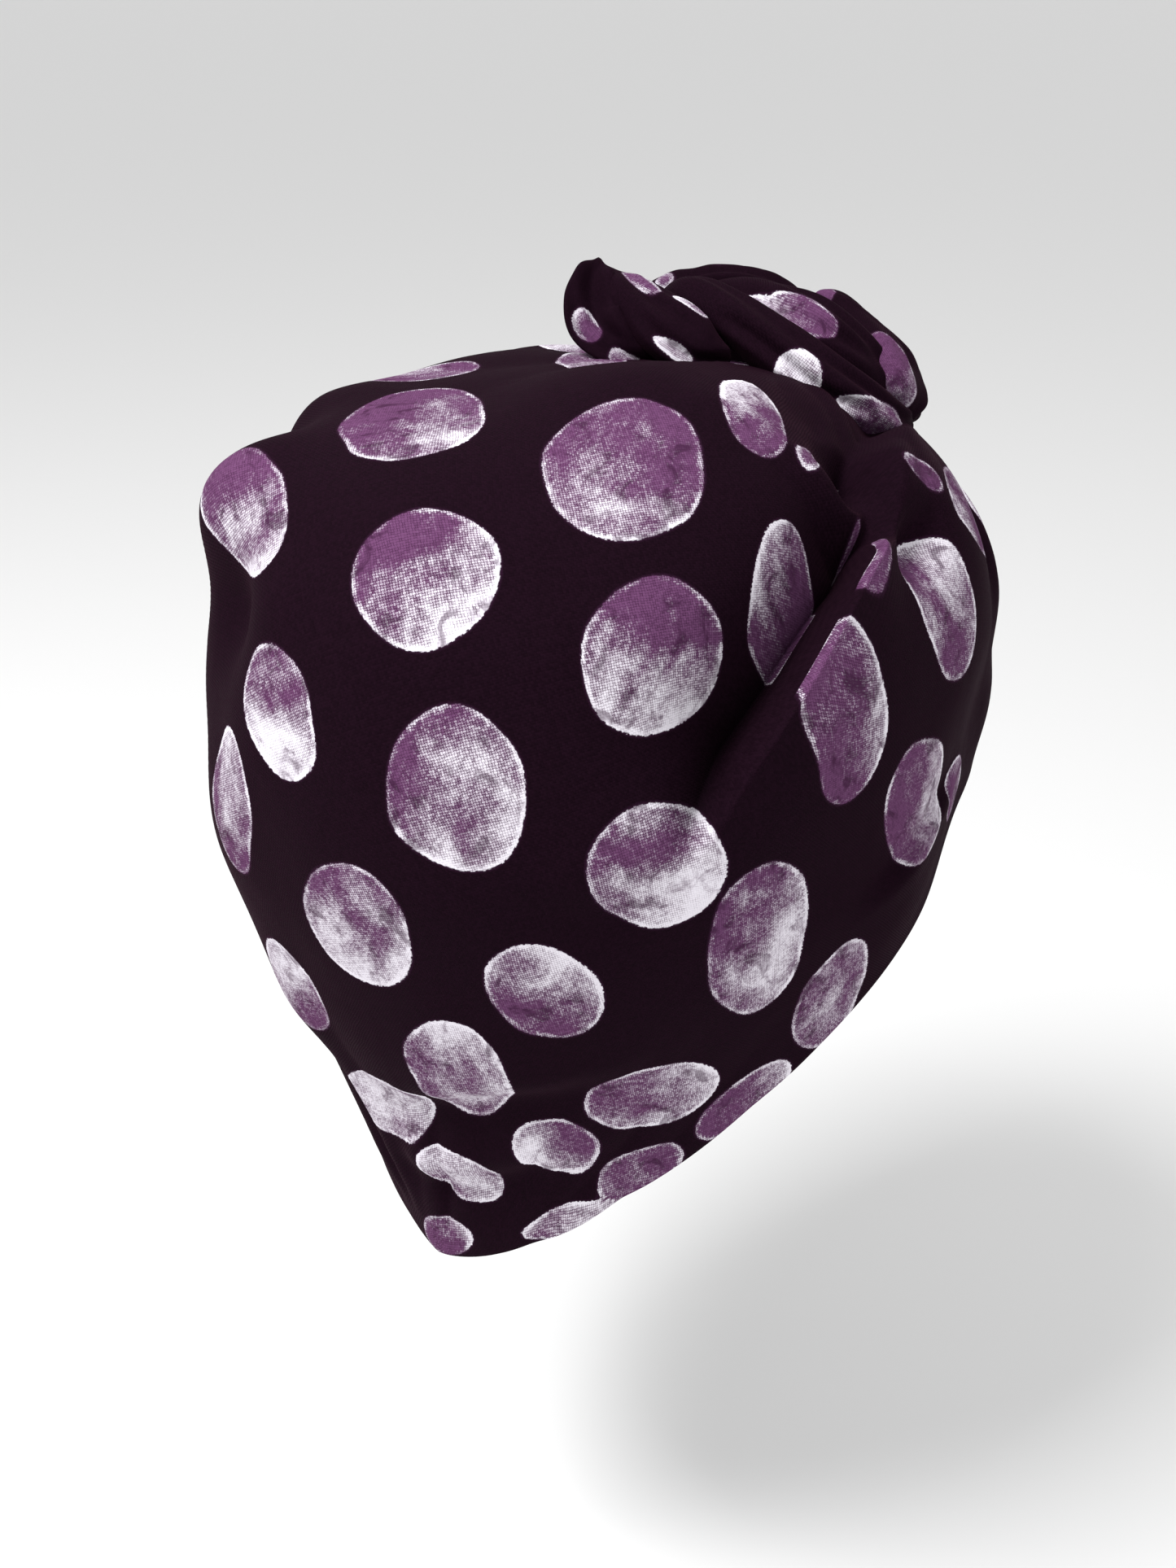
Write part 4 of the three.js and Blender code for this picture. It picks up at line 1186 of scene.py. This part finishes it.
def woven_material(name, looks, groups):
    """A new material with the weave in it, as material, wiring, shader and weave."""
    material = bpy.data.materials.new(name)
    material.use_nodes = True
    w = Wiring(material.node_tree)
    weave = w.node("ShaderNodeGroup", node_tree=groups["weave"])
    w.feed(weave.inputs["Place"], w.attribute("thread_place").outputs["Vector"])
    w.feed(weave.inputs["Pitch"], looks.thread_pitch)
    return material, w, material.node_tree.nodes["Principled BSDF"], weave


def cloth_material(name, looks, groups, wrinkle):
    """Printed face of the cloth: dyed ovals on a dark ground, darkened by painted shade in the main
    pleat's valley, with its weave and with wrinkles of a depth in metres."""
    material, w, shader, weave = woven_material(name, looks, groups)
    thread, height = weave.outputs["Thread"], weave.outputs["Height"]
    ovals = w.node("ShaderNodeGroup", node_tree=groups["ovals"])
    for key, value in (
        ("Edge", w.attribute("oval_edge").outputs["Fac"]),
        ("Place", w.attribute("oval_place").outputs["Vector"]),
        ("Pale", w.attribute("oval_pale").outputs["Fac"]),
        ("Thread", thread),
        ("Height", height),
        ("Ground", (*looks.ground, 1.0)),
        ("Deep dye", (*looks.deep_dye, 1.0)),
        ("Violet", (*looks.violet, 1.0)),
        ("Bare", (*looks.pale, 1.0)),
    ):
        w.feed(ovals.inputs[key], value)
    # Painted shade: the colour is darkened towards near-black in the valley beside the main pleat.
    sunken_painted_shade = w.times(w.attribute("painted_valley_shade").outputs["Fac"], 0.85)
    with_painted_shade = w.mix(sunken_painted_shade, ovals.outputs["Color"], PAINTED_VALLEY_SHADE_COLOUR)
    w.feed(shader.inputs["Base Color"], with_painted_shade)
    where = w.node("ShaderNodeTexCoord").outputs["Object"]
    fine = w.times(w.noise(where, 220.0, 2.0), 0.25)
    wrinkled = w.bump(w.plus(w.noise(where, 60.0, 3.0, 0.5, 0.4), fine), wrinkle, 1.0)
    w.feed(shader.inputs["Normal"], w.bump(height, THREAD_RELIEF, 0.5, wrinkled))
    w.feed(shader.inputs["Roughness"], w.spread(thread, 0.0, 1.0, 0.72, 0.88, smooth=False))
    shader.inputs["Specular IOR Level"].default_value = 0.015
    shader.inputs["Sheen Weight"].default_value = 0.024
    shader.inputs["Sheen Roughness"].default_value = 0.35
    shader.inputs["Sheen Tint"].default_value = (0.85, 0.30, 0.50, 1.0)
    return material


def reverse_material(looks, groups):
    """Plain inner face of the cloth, with the print showing through a little."""
    material, w, shader, weave = woven_material("cloth_reverse", looks, groups)
    shown = w.spread(w.attribute("oval_edge").outputs["Fac"], 0.6, -0.6, 0.0, 0.22)
    lighter = tuple(0.6 * c + 0.12 for c in looks.violet)
    print_through = w.mix(shown, (*looks.reverse, 1.0), (*lighter, 1.0))
    thread_tone = w.spread(weave.outputs["Thread"], 0.0, 1.0, 0.75, 1.3, smooth=False)
    w.feed(shader.inputs["Base Color"], w.toned(print_through, thread_tone))
    w.feed(shader.inputs["Normal"], w.bump(weave.outputs["Height"], THREAD_RELIEF, 0.5))
    shader.inputs["Roughness"].default_value = 0.88
    shader.inputs["Sheen Weight"].default_value = 0.08
    return material


def shared_groups():
    """The node groups that the materials share, each built once."""
    return {
        "weave": bpy.data.node_groups.get("Plain weave") or weave_group(),
        "ovals": bpy.data.node_groups.get("Dyed ovals") or oval_group(),
    }


class TURBAN_OT_cap(bpy.types.Operator):
    """Build the hollow cap of printed cloth"""

    bl_idname = "turban.cap"
    bl_label = "Cap"

    def execute(self, context):
        scene = context.scene
        cap, knot, looks = scene.turban_cap, scene.turban_knot, scene.turban_cloth
        groups = shared_groups()
        printed = cloth_material("cap_cloth", looks, groups, wrinkle=0.5 * MM)
        piece = build_cap(cap, knot, looks, [printed, reverse_material(looks, groups)])
        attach(piece, "root")
        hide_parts("crown")
        return {"FINISHED"}


class TURBAN_OT_knot(bpy.types.Operator):
    """Build the rolls of wound cloth that make up the knot"""

    bl_idname = "turban.knot"
    bl_label = "Knot"

    def execute(self, context):
        scene = context.scene
        knot, looks = scene.turban_knot, scene.turban_cloth
        material = cloth_material("knot_cloth", looks, shared_groups(), wrinkle=0.6 * MM)
        for number, (name, stations) in enumerate(ROLLS.items()):
            piece = build_roll(knot, looks, name, stations, number, material)
            piece.name = name.replace("knot_", "turban_")
            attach(piece, "root")
            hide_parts(name)
        return {"FINISHED"}


class TURBAN_OT_stage(bpy.types.Operator):
    """Build the floor, the soft lights and the camera"""

    bl_idname = "turban.stage"
    bl_label = "Stage"

    def execute(self, context):
        scene = context.scene
        sizes = scene.turban_stage
        target = Vector(sizes.target)
        floor_side = 80
        bpy.ops.mesh.primitive_plane_add(size=floor_side, location=(0, 0, -sizes.floor_drop))
        floor = context.object
        floor.name = "pale_floor"
        paint = bpy.data.materials.new("pale_floor")
        paint.use_nodes = True
        shader = paint.node_tree.nodes["Principled BSDF"]
        shader.inputs["Base Color"].default_value = (0.86, 0.86, 0.86, 1.0)
        shader.inputs["Roughness"].default_value = 0.9
        floor.data.materials.append(paint)

        a, e = sizes.azimuth, sizes.elevation
        back = Vector((math.sin(a) * math.cos(e), -math.cos(a) * math.cos(e), math.sin(e)))
        camera = bpy.data.objects.new("camera", bpy.data.cameras.new("camera"))
        scene.collection.objects.link(camera)
        camera.location = target + back * sizes.distance
        camera.rotation_euler = back.to_track_quat("Z", "Y").to_euler()
        photo_height, focal_length = 1927, 2200  # pixels
        sensor = 36.0
        camera.data.sensor_width = sensor
        camera.data.lens = focal_length / photo_height * sensor
        camera.data.clip_start = 0.01
        scene.camera = camera

        world = bpy.data.worlds.new("studio")
        world.use_nodes = True
        background = world.node_tree.nodes["Background"]
        background.inputs["Color"].default_value = (1.0, 1.0, 1.0, 1.0)
        background.inputs["Strength"].default_value = sizes.room_light
        scene.world = world
        scene.view_settings.view_transform = "Standard"

        # Each light stands off from the target towards the camera, to its right and up.
        right = back.cross(Vector((0, 0, 1))).normalized() * -1
        for name, toward, aside, up, size, power in (
            ("key", 0.42, -0.55, 0.95, 0.45, sizes.key_power),
            ("fill", 0.90, 0.70, 0.20, 0.90, sizes.fill_power),
        ):
            place = back * toward + right * aside + Vector((0, 0, up))
            light = bpy.data.objects.new(name, bpy.data.lights.new(name, "AREA"))
            light.data.size = size
            light.data.energy = power
            light.location = target + place
            light.rotation_euler = place.to_track_quat("Z", "Y").to_euler()
            scene.collection.objects.link(light)
        return {"FINISHED"}


class TURBAN_PT_panel(bpy.types.Panel):
    """Lists the steps that build the turban"""

    bl_idname = "TURBAN_PT_panel"
    bl_label = "Turban"
    bl_space_type = "VIEW_3D"
    bl_region_type = "UI"
    bl_category = "Turban"

    def draw(self, context):
        for settings, operator in (
            ("turban_stage", TURBAN_OT_stage),
            ("turban_cap", TURBAN_OT_cap),
            ("turban_knot", TURBAN_OT_knot),
            ("turban_cloth", None),
        ):
            box = self.layout.box()
            group = getattr(context.scene, settings)
            for key in group.__annotations__:
                box.prop(group, key)
            if operator:
                box.operator(operator.bl_idname)


CLASSES = (
    CapSizes, KnotSizes, ClothLooks, StageSizes,
    TURBAN_OT_cap, TURBAN_OT_knot, TURBAN_OT_stage, TURBAN_PT_panel,
)
SETTINGS = {
    "turban_cap": CapSizes,
    "turban_knot": KnotSizes,
    "turban_cloth": ClothLooks,
    "turban_stage": StageSizes,
}


def register():
    for item in CLASSES:
        bpy.utils.register_class(item)
    for name, group in SETTINGS.items():
        setattr(bpy.types.Scene, name, PointerProperty(type=group))


def unregister():
    for name in SETTINGS:
        delattr(bpy.types.Scene, name)
    for item in reversed(CLASSES):
        bpy.utils.unregister_class(item)


def main():
    register()
    bpy.ops.turban.stage()
    bpy.ops.turban.cap()
    bpy.ops.turban.knot()
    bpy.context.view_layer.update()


if __name__ == "__main__":
    main()
